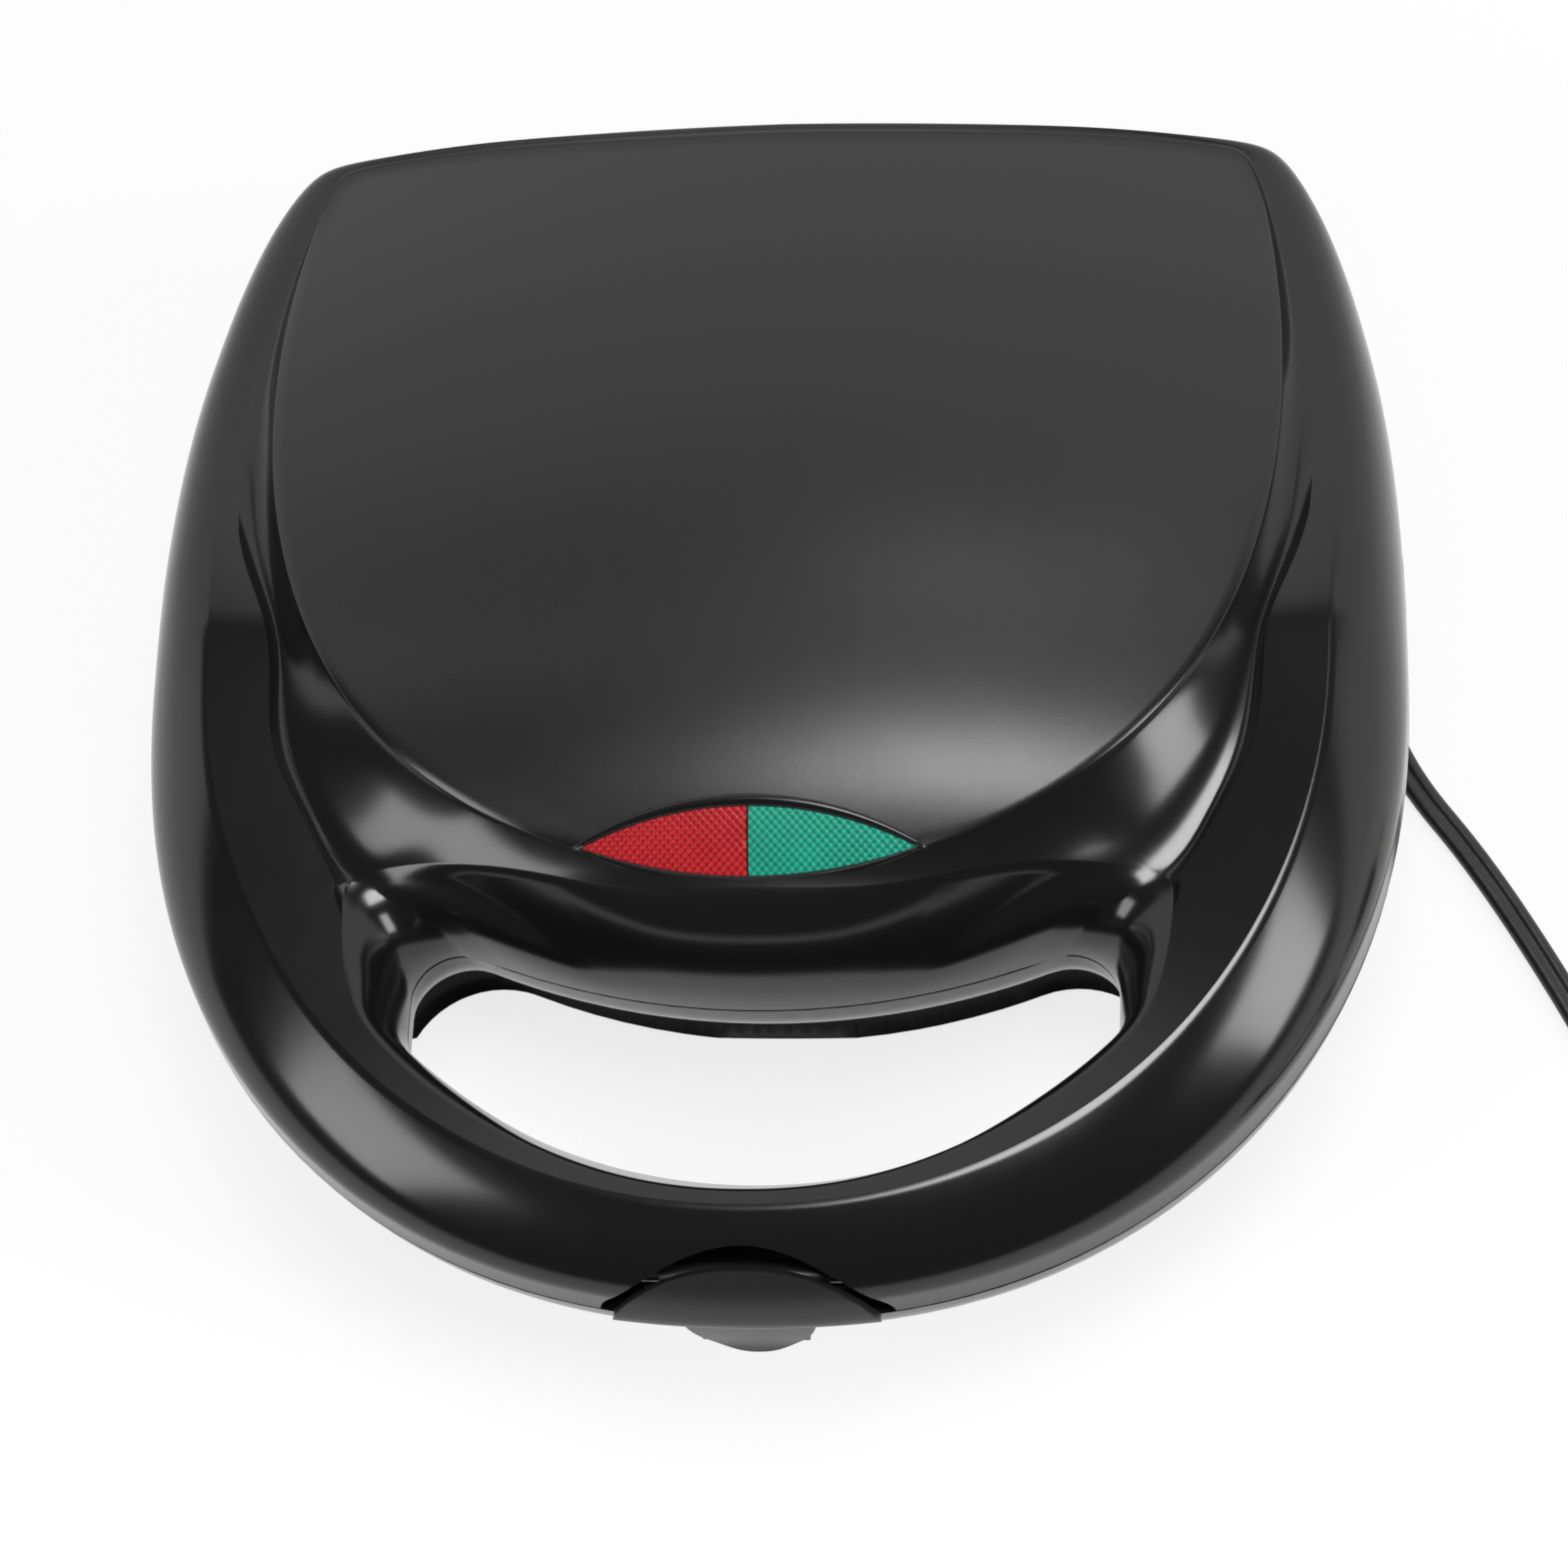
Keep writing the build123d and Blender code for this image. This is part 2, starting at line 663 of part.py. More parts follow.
def lens_body(side):
    """One half of the almond lens, left (side -1) or right (side 1): a curved window with a skirt."""
    lens = column(lens_face(0, lens_foot_z), crown_height) - crown_cutter(seat_gap)
    hollow = column(lens_face(-lens_wall, lens_foot_z - wall), crown_height)
    hollow -= crown_cutter(seat_gap + lens_wall)
    limits = (-reach, 0, 0, crown_height)
    outer = sorted((side * lens_seam / 2, side * reach))
    inner = sorted((side * (lens_seam / 2 + lens_wall), side * reach))
    return (lens & block(*outer, *limits)) - (hollow & block(*inner, *limits))


def with_knuckles(shell, spans, hole_radius, way):
    """The shell with hinge knuckles on their webs, on the lid (way 1) or on the base (way -1)."""
    near = parting_height + way * half_gap
    far = parting_height + way * hinge_web_height
    holes = Part()
    for x_low, x_high in spans:
        shell += block(x_low, x_high, hinge_root_y, hinge_y, min(near, far), max(near, far))
        shell += rod(hinge_y, parting_height, hinge_radius, x_low, x_high)
        holes += rod(hinge_y, parting_height, hole_radius, x_low - seat_gap, x_high + seat_gap)
    return shell - holes


def upper_shell_body():
    """Upper shell with its posts, latch seat, latch ears, lens window and hinge barrels."""
    base = parting_height + half_gap
    outside = upper_body(0, 0, 0, base)
    shell = outside - upper_body(wall, wall, wall, base - wall)
    liner_back = parting_height + face_depth + liner_thickness + thread_gap
    plate_back = parting_height + flange_depth + thread_gap
    supports = posts(liner_screw_places, liner_post_radius, liner_back, crown_height)
    supports += posts(plate_screw_places, plate_post_radius, plate_back, crown_height)
    supports += posts([(holder_post_x, lens_tip_y)], holder_post_radius, lens_foot_z, crown_height)
    ear_x = (latch_knuckle_half_length + fit_gap, latch_knuckle_half_length + fit_gap + latch_ear_width)
    ear_y = (latch_pivot_y - latch_ear_half_depth, latch_pivot_y + latch_ear_half_depth)
    supports += twin(*ear_x, *ear_y, liner_back, seat_peak_z + wall)
    shell += supports & outside
    shell -= posts(liner_screw_places, screw_radius + thread_gap, 0, liner_back + small_screw_length)
    shell -= posts(plate_screw_places, plate_screw_radius + thread_gap, 0, plate_back + plate_screw_length)
    seat = Pos(0, seat_back_y, 0) * arch_face(seat_half_width, base - wall, seat_peak_z)
    shell -= extrude(seat, amount=overrun, dir=(0, -1, 0))
    shell -= rod(latch_pivot_y, latch_pivot_z, latch_pin_radius + thread_gap, -ear_x[1], ear_x[1])
    shell -= column(lens_face(lens_gap, lens_foot_z - wall), crown_height + wall)
    barrel = (hinge_lug_x[1] + fit_gap, hinge_lug_x[2] - fit_gap)
    barrels = [barrel, (-barrel[1], -barrel[0])]
    shell = with_knuckles(shell, barrels, hinge_pin_radius + running_gap, 1)
    return with_knuckles(shell, [sleeve_port_x], sleeve_radius + running_gap, 1)


def lower_shell_body():
    """Lower shell with its posts, latch catch, hinge lugs, vents, foot holes and cord hole."""
    top = parting_height - half_gap
    outside = lower_body(0, 0, foot_height, top, 0)
    shell = outside - lower_body(wall, wall, foot_height + wall, top + wall, wall)
    liner_back = parting_height - face_depth - liner_thickness - thread_gap
    plate_back = parting_height - flange_depth - thread_gap
    supports = posts(liner_screw_places, liner_post_radius, 0, liner_back)
    supports += posts(plate_screw_places, plate_post_radius, 0, plate_back)
    pad = (-catch_half_width, catch_half_width, -reach - wall, catch_inner_y)
    supports += block(*pad, catch_low_z, liner_back)
    shell += supports & outside
    shell -= posts(liner_screw_places, screw_radius + thread_gap, liner_back - small_screw_length, top)
    shell -= posts(plate_screw_places, plate_screw_radius + thread_gap, plate_back - plate_screw_length, top)
    recess = tongue_half_width + tooth_depth
    shell -= block(-recess, recess, -reach - overrun, catch_face_y, catch_low_z - wall, parting_height)
    slot = tooth_half_width + face_depth
    slot_low = catch_low_z - tooth_height - 2 * face_depth - seat_gap
    shell -= block(-slot, slot, -reach - overrun, catch_inner_y, slot_low, catch_low_z)
    for i in range(vent_count):
        vent = SlotOverall(2 * vent_half_length, 2 * vent_half_width, rotation=90)
        x = (i - (vent_count - 1) / 2) * vent_pitch
        shell -= Pos(x, vent_y, 0) * extrude(vent, amount=foot_height + 2 * wall)
    shell -= posts(foot_places, foot_stem_radius + running_gap, 0, foot_height + 2 * wall)
    lugs = [hinge_lug_x[:2], hinge_lug_x[2:]]
    lugs += [(-high, -low) for low, high in lugs]
    shell = with_knuckles(shell, lugs, hinge_pin_radius + thread_gap, -1)
    port = (-sleeve_port_x[1], -sleeve_port_x[0])
    shell = with_knuckles(shell, [port], sleeve_radius + thread_gap, -1)
    return shell - relief_plane().location * Cylinder(relief_root_radius + running_gap, overrun)


def relief_plane(along=0.0):
    """Plane square to the strain relief, a distance along it from where it crosses the rear wall."""
    turn = radians(relief_turn)
    way = Vector(sin(turn), cos(turn), 0)
    return Plane(origin=Vector(relief_x, relief_y, relief_height) + way * along, z_dir=way)


def relief_body():
    """Strain relief: a tapered sleeve behind the rear wall, a neck through it and a flange inside."""
    root = relief_plane() * Circle(relief_root_radius)
    boot = loft([root, relief_plane(relief_length) * Circle(relief_tip_radius)])
    inner = relief_plane(-relief_inner_length)
    boot += extrude(inner * Circle(relief_root_radius), amount=relief_inner_length)
    flange = inner * Circle(relief_flange_radius)
    return boot + extrude(flange, amount=relief_flange_thickness)


def foot_body(x, y):
    """Round rubber foot with a stem through the floor."""
    foot = Pos(x, y, foot_height / 2) * Cylinder(foot_radius, foot_height)
    foot = chamfer(foot.edges().sort_by(Axis.Z)[0], face_depth)
    stem_top = foot_height + foot_stem_height
    return foot + Pos(x, y, stem_top / 2) * Cylinder(foot_stem_radius, stem_top)


def lamp_holder_body():
    """Holder under the lens window, with a pocket for each lamp."""
    half = holder_half_depth
    holder_y = (lens_tip_y - half, lens_tip_y + half)
    floor = lens_foot_z - holder_thickness
    holder = block(-holder_half_width, holder_half_width, *holder_y, floor, lens_foot_z)
    pocket_x = (lamp_x - lamp_half_length - fit_gap, lamp_x + lamp_half_length + fit_gap)
    pocket_y = (lens_tip_y - lamp_radius - fit_gap, lens_tip_y + lamp_radius + fit_gap)
    return holder - twin(*pocket_x, *pocket_y, lens_foot_z - lamp_depth - lamp_radius, lens_foot_z + wall)


def lamp_body(side):
    """Neon lamp under the left (side -1) or right (side 1) half of the lens."""
    x = side * lamp_x
    return rod(lens_tip_y, lens_foot_z - lamp_depth, lamp_radius, x - lamp_half_length, x + lamp_half_length)


def thermostat_body():
    """Thermostat that sits on the back of the upper plate."""
    low = parting_height + flange_depth
    x_limits = (-thermostat_half_width, thermostat_half_width)
    y_limits = (thermostat_y - thermostat_half_length, thermostat_y + thermostat_half_length)
    body = block(*x_limits, *y_limits, low, low + thermostat_height)
    return fillet(body.edges().filter_by(Axis.Z), cavity_wall)


def terminal_body():
    """Terminal block on the floor of the base."""
    floor = foot_height + wall
    x_limits = (terminal_x - terminal_half_width, terminal_x + terminal_half_width)
    y_limits = (terminal_y - terminal_half_depth, terminal_y + terminal_half_depth)
    return block(*x_limits, *y_limits, floor, floor + terminal_height)


def supply_leads_body():
    """Two leads from the terminal block to the cord's inner end."""
    start_y = terminal_y + terminal_half_depth
    start_z = foot_height + wall + terminal_height / 2
    back = relief_plane(-relief_inner_length)
    across = back.z_dir.cross(Vector(0, 0, 1))
    leads = Part()
    for side in (-1, 1):
        x = terminal_x + side * lead_pitch / 2
        end = back.origin + across * (side * lead_pitch / 2)
        before = end - back.z_dir * (2 * lead_bend_radius)
        start = (x, start_y, start_z)
        after = (x, start_y + lead_bend_radius, start_z)
        path = FilletPolyline(start, after, before, end, radius=lead_bend_radius)
        leads += tube(path, lead_radius)
    return leads


def base_leads_body():
    """Two leads from the terminal block to the base's port on the hinge line."""
    start_y = terminal_y + terminal_half_depth
    start_z = foot_height + wall + terminal_height / 2
    leads = Part()
    for i in (0, 1):
        start_x = terminal_x - terminal_half_width + (i + 1 / 2) * lead_pitch
        end_x = i * lead_pitch - (sleeve_port_x[0] + sleeve_port_x[1] + lead_pitch) / 2
        path = FilletPolyline(
            (start_x, start_y, start_z),
            (start_x, start_y + 2 * lead_bend_radius, start_z),
            (end_x, base_lead_bend_y, start_z),
            (end_x, (base_lead_bend_y + lead_end_y) / 2, start_z + base_lead_rise),
            (end_x, lead_end_y, start_z + base_lead_rise),
            radius=lead_bend_radius,
        )
        leads += tube(path, lead_radius)
    return leads


def lid_leads_body():
    """Two leads from the thermostat over the heat shield to the lid's port on the hinge line."""
    low = parting_height + flange_depth + thermostat_height
    high = parting_height + shield_floor_depth + shield_thickness + lead_bend_radius
    port_z = parting_height + hinge_web_height - lead_radius
    leads = Part()
    for side in (-1, 1):
        x = side * lead_pitch / 2
        end_x = (sleeve_port_x[0] + sleeve_port_x[1]) / 2 + x
        path = FilletPolyline(
            (x, thermostat_y, low),
            (x, thermostat_y, high),
            (end_x, lid_lead_bend_y, high),
            (end_x, lid_lead_bend_y, port_z),
            (end_x, lead_end_y, port_z),
            radius=lead_bend_radius,
        )
        leads += tube(path, lead_radius)
    return leads


def run_radii(route):
    """Radius of each bend of a route: 0.45 of its shorter run, divided by the tangent of half its turn."""
    bend_share = 0.45
    radii = []
    for before, here, after in zip(route, route[1:], route[2:]):
        arrive, leave = Vector(*here) - Vector(*before), Vector(*after) - Vector(*here)
        half_turn = radians(arrive.get_angle(leave)) / 2
        radii.append(bend_share * min(arrive.length, leave.length) / tan(half_turn))
    return radii


def coil_wire(x, y, z, pitch):
    """Coil in two layers: in along the floor, up a layer in the innermost half turn, and out again."""
    inward = [coil_radius - pitch / 2 * i for i in range(4)]
    innermost = inward[-1] - pitch / 2
    edges = [Line((x, y + cord_diameter, z), (x, y, z)).edge()]
    for turn, radius in enumerate([*inward, innermost, *inward[:1:-1]]):
        way = 1 if turn % 2 == 0 else -1
        end_x = x + way * 2 * radius
        if radius == innermost:
            peak = (x + way * radius, y - way * hypot(radius, pitch / 2), z + pitch / 2)
            first = TangentArc((x, y, z), peak, tangent=(0, -way, 0))
            second = TangentArc(first @ 1, (end_x, y, z + pitch), tangent=first % 1)
            edges += [first.edge(), second.edge()]
            z += pitch
        else:
            peak = (x + way * radius, y - way * radius, z)
            edges.append(ThreePointArc((x, y, z), peak, (end_x, y, z)).edge())
        x = end_x
    edges.append(Line((x, y, z), (x, y + cord_diameter, z)).edge())
    return Wire(edges)


def least_gap(path, diameter):
    """Least gap between the turns of a coil, from points along its path."""
    count = 400
    points = [path @ (i / count) for i in range(count + 1)]
    apart = int(count * 4 * diameter / path.length)
    pairs = [(i, j) for i in range(count + 1) for j in range(i + apart, count + 1)]
    return min((points[i] - points[j]).length for i, j in pairs) - diameter


def plug_body(x, y, z):
    """Plug with a sleeve round the cord's end."""
    front = y + plug_sleeve_length
    plug = block(x - plug_half_width, x + plug_half_width, front, front + plug_length, 0, plug_height)
    plug = fillet(plug.edges().filter_by(Axis.Y), plug_corner_radius)
    sleeve = Plane(origin=(x, y, z), z_dir=(0, 1, 0)) * Circle(plug_sleeve_radius)
    return plug + extrude(sleeve, amount=plug_sleeve_length)


def plug_pins_body(x, y, z):
    """Two round pins on the plug's front face."""
    pins = Part()
    for side in (-1, 1):
        place = Plane(origin=(x + side * plug_pin_half_spacing, y, z), z_dir=(0, 1, 0))
        pins += extrude(place * Circle(plug_pin_radius), amount=plug_pin_length)
    return pins


parts = {"upper_shell": upper_shell_body(), "lower_shell": lower_shell_body()}
for name, piece in lower_pieces().items():
    parts["lower_" + name] = piece
    parts["upper_" + name] = opposite(piece)

parts["latch"] = latch_body()
pin_end_x = latch_knuckle_half_length + fit_gap + latch_ear_width
parts["latch_pin"] = rod(latch_pivot_y, latch_pivot_z, latch_pin_radius, -pin_end_x, pin_end_x)
parts["red_lens"] = lens_body(-1)
parts["green_lens"] = lens_body(1)
parts["lamp_holder"] = lamp_holder_body()
parts["power_lamp"] = lamp_body(-1)
parts["ready_lamp"] = lamp_body(1)

pin_ends = (hinge_lug_x[0], hinge_lug_x[-1])
parts["right_hinge_pin"] = rod(hinge_y, parting_height, hinge_pin_radius, *pin_ends)
parts["left_hinge_pin"] = rod(hinge_y, parting_height, hinge_pin_radius, -pin_ends[1], -pin_ends[0])
parts["hinge_sleeve"] = rod(hinge_y, parting_height, sleeve_radius, -sleeve_half_length, sleeve_half_length)
foot_names = ("front_left_foot", "front_right_foot", "rear_left_foot", "rear_right_foot")
for name, place in zip(foot_names, side_by_side(foot_places)):
    parts[name] = foot_body(*place)

parts["thermostat"] = thermostat_body()
fuse_z = parting_height - flange_depth - fuse_radius
parts["thermal_fuse"] = rod(fuse_y, fuse_z, fuse_radius, fuse_x - fuse_half_length, fuse_x + fuse_half_length)
parts["terminal_block"] = terminal_body()
parts["supply_leads"] = supply_leads_body()
parts["base_leads"] = base_leads_body()
parts["lid_leads"] = lid_leads_body()
parts["strain_relief"] = relief_body()

floor_z = cord_diameter / 2
coil_entry_x = coil_x - coil_radius
cord_route = [
    tuple(relief_plane(relief_length).origin),
    tuple(relief_plane(relief_length + cord_exit_length).origin),
    (79.3, 134.5, 13.5),
    (94.1, 126.6, 7.0),
    (102.1, 112.8, 2.9),
    (104.0, 94.0, floor_z),
    (105.0, 75.0, floor_z),
    (108.0, 54.0, floor_z),
    (110.0, 36.0, floor_z),
    (112.0, 21.0, floor_z),
    (117.5, 5.8, floor_z),
    (130.5, -11.8, floor_z),
    (144.5, -36.4, floor_z),
    (157.0, -62.0, floor_z),
    (coil_entry_x, -79.5, floor_z),
    (coil_entry_x, coil_y + cord_diameter, floor_z),
]
radii = run_radii(cord_route)
print("cord bend radii", [round(radius, 1) for radius in radii])
cord_path = FilletPolyline(*cord_route, radius=radii)
parts["cord_run"] = tube(cord_path, cord_diameter / 2)
coil_path = coil_wire(coil_entry_x, coil_y, floor_z, cord_diameter + cord_gap)
print("least gap in the coil", round(least_gap(coil_path, cord_diameter), 2))
parts["cord_coil"] = tube(coil_path, cord_diameter / 2)
tail_start = coil_path @ 1
tail_end = tail_start + Vector(0, cord_tail_length, 0)
parts["cord_tail"] = tube(Line(tail_start, tail_end), cord_diameter / 2)
section = pi * cord_diameter**2 / 4
for name, path in (("cord_run", cord_path), ("cord_coil", coil_path)):
    share = parts[name].volume / section / path.length
    print(name, "length", round(path.length, 1), "volume as a share of section times length", round(share, 4))
parts["plug"] = plug_body(tail_end.X, tail_end.Y, tail_end.Z)
pins_y = tail_end.Y + plug_sleeve_length + plug_length
parts["plug_pins"] = plug_pins_body(tail_end.X, pins_y, plug_height / 2)

os.makedirs("parts", exist_ok=True)
for name, shape in parts.items():
    export_step(shape, f"parts/{name}.step")
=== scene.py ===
import json
from math import cos, pi, radians, sin

import bmesh
import bpy
import numpy as np
from mathutils import Matrix, Vector
from mathutils.geometry import tessellate_polygon


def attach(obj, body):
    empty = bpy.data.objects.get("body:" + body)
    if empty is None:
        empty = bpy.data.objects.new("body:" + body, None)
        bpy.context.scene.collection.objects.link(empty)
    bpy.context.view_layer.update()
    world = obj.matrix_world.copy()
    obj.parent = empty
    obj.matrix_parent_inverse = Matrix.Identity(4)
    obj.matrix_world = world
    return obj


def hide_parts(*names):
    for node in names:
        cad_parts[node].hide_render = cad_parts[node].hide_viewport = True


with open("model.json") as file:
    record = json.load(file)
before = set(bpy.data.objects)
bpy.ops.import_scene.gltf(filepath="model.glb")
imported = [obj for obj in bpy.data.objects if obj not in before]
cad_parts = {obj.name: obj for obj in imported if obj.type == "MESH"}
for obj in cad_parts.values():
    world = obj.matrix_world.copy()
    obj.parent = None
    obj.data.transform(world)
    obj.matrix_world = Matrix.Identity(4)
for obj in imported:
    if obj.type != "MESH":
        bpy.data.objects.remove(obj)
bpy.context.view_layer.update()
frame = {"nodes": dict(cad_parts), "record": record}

MM = 0.001
NODES = frame["nodes"]
SCENE = bpy.context.scene


# ---------------------------------------------------------------- camera and cord

def place_camera():
    """Camera at the photograph's angle: it looks down at the handle, a little from the right."""
    turn, rise, roll = radians(15.43), radians(64.79), radians(-14.44)
    sensor, focal_pixels, frame_pixels = 36.0, 4000.0, 1569.0
    target = Vector((1.83, -14.05, 45.0)) * MM
    distance = 736.87 * MM
    back = Vector((sin(turn) * cos(rise), -cos(turn) * cos(rise), sin(rise)))
    level = Vector((cos(turn), sin(turn), 0))
    upright = back.cross(level)
    across = cos(roll) * level + sin(roll) * upright
    up = -sin(roll) * level + cos(roll) * upright
    data = bpy.data.cameras.new("camera")
    data.sensor_width = sensor
    data.lens = sensor * focal_pixels / frame_pixels
    camera = bpy.data.objects.new("camera", data)
    turned = Matrix((across, up, back)).transposed().to_4x4()
    camera.matrix_world = Matrix.Translation(target + distance * back) @ turned
    SCENE.collection.objects.link(camera)
    SCENE.camera = camera


def mesh_piece(name, points, faces, smooth=True):
    """A mesh object from points in millimetres and lists of corner numbers."""
    mesh = bpy.data.meshes.new(name)
    mesh.from_pydata(np.asarray(points, float) * MM, [], faces)
    mesh.update()
    mesh.polygons.foreach_set("use_smooth", np.full(len(mesh.polygons), smooth))
    piece = bpy.data.objects.new(name, mesh)
    SCENE.collection.objects.link(piece)
    return piece


def cord_route():
    """Control points of the cord: its free stretch, a coil of seven half turns and the tail to the plug."""
    flat, layer, count = 1.55, 3.1, 9
    x, coil_y = 163.0, -100.0
    points = [
        (56.14, 119.10, 18.0), (65.14, 129.83, 18.0), (79.3, 134.5, 13.5), (94.1, 126.6, 6.2),
        (102.1, 112.8, 2.0), (104.0, 94.0, flat), (105.0, 75.0, flat), (108.0, 54.0, flat),
        (110.0, 36.0, flat), (112.0, 21.0, flat), (117.5, 5.8, flat), (130.5, -11.8, flat),
        (144.5, -36.4, flat), (157.0, -62.0, flat), (163.0, -79.5, flat), (163.0, -94.6, flat),
    ]
    points = np.array(points)
    radii = (35.0, 31.9, 28.8, 25.7, 22.6, 25.7, 28.8)
    for i, radius in enumerate(radii):
        way = 1 if i % 2 == 0 else -1
        share = (np.arange(count) + 0.5) / count
        turn = pi * (i + 1 + share)
        reach = radius / cos(pi / count / 2) ** 2
        centre = x + way * radius
        height = flat + layer * np.clip(i - 4 + share, 0, 1)
        turns = np.stack([centre + reach * np.cos(turn), coil_y + reach * np.sin(turn), height], 1)
        points = np.vstack([points, turns])
        x += way * 2 * radius
    tail = [(x, -94.0, flat + layer), (x, -80.0, 6.4), (x, -68.0, 8.9), (x, -59.5, 8.9)]
    return np.vstack([points, tail])


def spline_points(points, order=3):
    """Points along one smooth open spline whose control points are given in millimetres."""
    curve = bpy.data.curves.new("route", "CURVE")
    curve.dimensions = "3D"
    curve.resolution_u = 7
    spline = curve.splines.new("NURBS")
    spline.points.add(len(points) - 1)
    weighted = np.hstack([np.asarray(points) * MM, np.ones((len(points), 1))])
    spline.points.foreach_set("co", weighted.ravel())
    spline.order_u = order
    spline.use_endpoint_u = True
    holder = bpy.data.objects.new("route", curve)
    mesh = bpy.data.meshes.new_from_object(holder)
    found = np.empty(len(mesh.vertices) * 3)
    mesh.vertices.foreach_get("co", found)
    bpy.data.objects.remove(holder)
    return found.reshape(-1, 3) / MM


def along(path):
    """Unit tangents, level side vectors and upright vectors along a path."""
    tangent = np.gradient(path, axis=0)
    tangent /= np.linalg.norm(tangent, axis=1, keepdims=True)
    side = np.cross(tangent, (0.0, 0.0, 1.0))
    side /= np.linalg.norm(side, axis=1, keepdims=True)
    return tangent, side, np.cross(side, tangent)


def tube_faces(rings, count):
    """Quads between closed rings, with a flat face at each end."""
    ring, point = np.meshgrid(np.arange(rings - 1), np.arange(count), indexing="ij")
    after = (point + 1) % count
    quads = np.stack([ring * count + point, ring * count + after,
                      (ring + 1) * count + after, (ring + 1) * count + point], -1)
    faces = quads.reshape(-1, 4).tolist()
    last = (rings - 1) * count
    return [list(range(count))[::-1]] + faces + [list(range(last, last + count))]


def make_cord():
    """Flat twin flex: two round cores side by side, so each half of its section is an arc about its core."""
    path = spline_points(cord_route())
    path = path[np.append(True, np.linalg.norm(np.diff(path, axis=0), axis=1) > 1e-4)]
    count, half_width, core = 28, 2.7, 1.45
    turn = 2 * pi * np.arange(count) / count
    across = half_width * np.cos(turn)
    rise = np.sqrt(np.clip(core**2 - (np.abs(across) - (half_width - core)) ** 2, 0, None))
    up = np.where(np.sin(turn) >= 0, rise, -rise)
    _, side, upright = along(path)
    rings = (path[:, None] + across[None, :, None] * side[:, None]
             + up[None, :, None] * upright[:, None])
    cord = mesh_piece("mains_cord", rings.reshape(-1, 3), tube_faces(len(path), count))
    length = float(np.linalg.norm(np.diff(path, axis=0), axis=1).sum()) * MM
    print("cord length", round(length, 4))
    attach(cord, "root")
    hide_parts("cord_run", "cord_coil", "cord_tail")
    return cord


place_camera()
CORD = make_cord()


# ---------------------------------------------------------------- shader building

class Value:
    """A shader socket that takes part in sums; each operator adds its Math node."""

    def __init__(self, tree, socket):
        self.tree, self.socket = tree, socket

    def math(self, operation, *terms):
        node = self.tree.nodes.new("ShaderNodeMath")
        node.operation = operation
        for place, term in zip(node.inputs, terms):
            if isinstance(term, Value):
                self.tree.links.new(term.socket, place)
            else:
                place.default_value = term
        return Value(self.tree, node.outputs[0])

    def __add__(self, other):
        return self.math("ADD", self, other)

    def __radd__(self, other):
        return self.math("ADD", other, self)

    def __sub__(self, other):
        return self.math("SUBTRACT", self, other)

    def __rsub__(self, other):
        return self.math("SUBTRACT", other, self)

    def __mul__(self, other):
        return self.math("MULTIPLY", self, other)

    def __rmul__(self, other):
        return self.math("MULTIPLY", other, self)

    def sine(self):
        return self.math("SINE", self)

    def above(self, other):
        return self.math("GREATER_THAN", self, other)

    def most(self, other):
        return self.math("MAXIMUM", self, other)

    def least(self, other):
        return self.math("MINIMUM", self, other)


class Finish:
    """A material with its Principled shader, built node by node."""

    def __init__(self, name, color, **constants):
        self.material = bpy.data.materials.new(name)
        self.material.use_nodes = True
        self.tree = self.material.node_tree
        self.shader = next(n for n in self.tree.nodes if n.type == "BSDF_PRINCIPLED")
        self.shader.inputs["Base Color"].default_value = (*color, 1)
        for socket, value in constants.items():
            self.shader.inputs[socket.replace("_", " ")].default_value = value
        self.place = self.node("ShaderNodeTexCoord", output="Object")

    def node(self, kind, settings=None, output=0, **values):
        node = self.tree.nodes.new(kind)
        for key, value in (settings or {}).items():
            setattr(node, key, value)
        for key, value in values.items():
            self.put(node, int(key[1:]) if key[1:].isdigit() else key.replace("_", " "), value)
        return Value(self.tree, node.outputs[output])

    def put(self, node, key, value):
        if isinstance(value, Value):
            self.tree.links.new(value.socket, node.inputs[key])
        else:
            node.inputs[key].default_value = value

    def set(self, key, value):
        self.put(self.shader, key, value)

    def stretched(self, x, y, z):
        return self.node("ShaderNodeMapping", Vector=self.place, Scale=(x, y, z))

    def noise(self, scale, detail=3.0, rough=0.5, place=None):
        return self.node("ShaderNodeTexNoise", Vector=place or self.place, Scale=scale,
                         Detail=detail, Roughness=rough)

    def axes(self):
        node = self.tree.nodes.new("ShaderNodeSeparateXYZ")
        self.tree.links.new(self.place.socket, node.inputs[0])
        return [Value(self.tree, out) for out in node.outputs]

    def blend(self, factor, a, b):
        """Mix of two colours."""
        node = self.tree.nodes.new("ShaderNodeMix")
        node.data_type = "RGBA"
        self.put(node, 0, factor)
        for key, value in ((6, a), (7, b)):
            self.put(node, key, value if isinstance(value, Value) else (*value, 1))
        return Value(self.tree, node.outputs[2])

    def bump(self, height, distance, strength=1.0):
        bumped = self.node("ShaderNodeBump", Height=height, Distance=distance, Strength=strength)
        self.set("Normal", bumped)


def paint(piece, finish):
    """Give a piece one finish in all its slots."""
    piece.data.materials.clear()
    piece.data.materials.append(finish.material)


def repaint_node(name, finish):
    """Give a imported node's object a finish, in every material slot it has."""
    for place in NODES[name].material_slots:
        place.material = finish.material


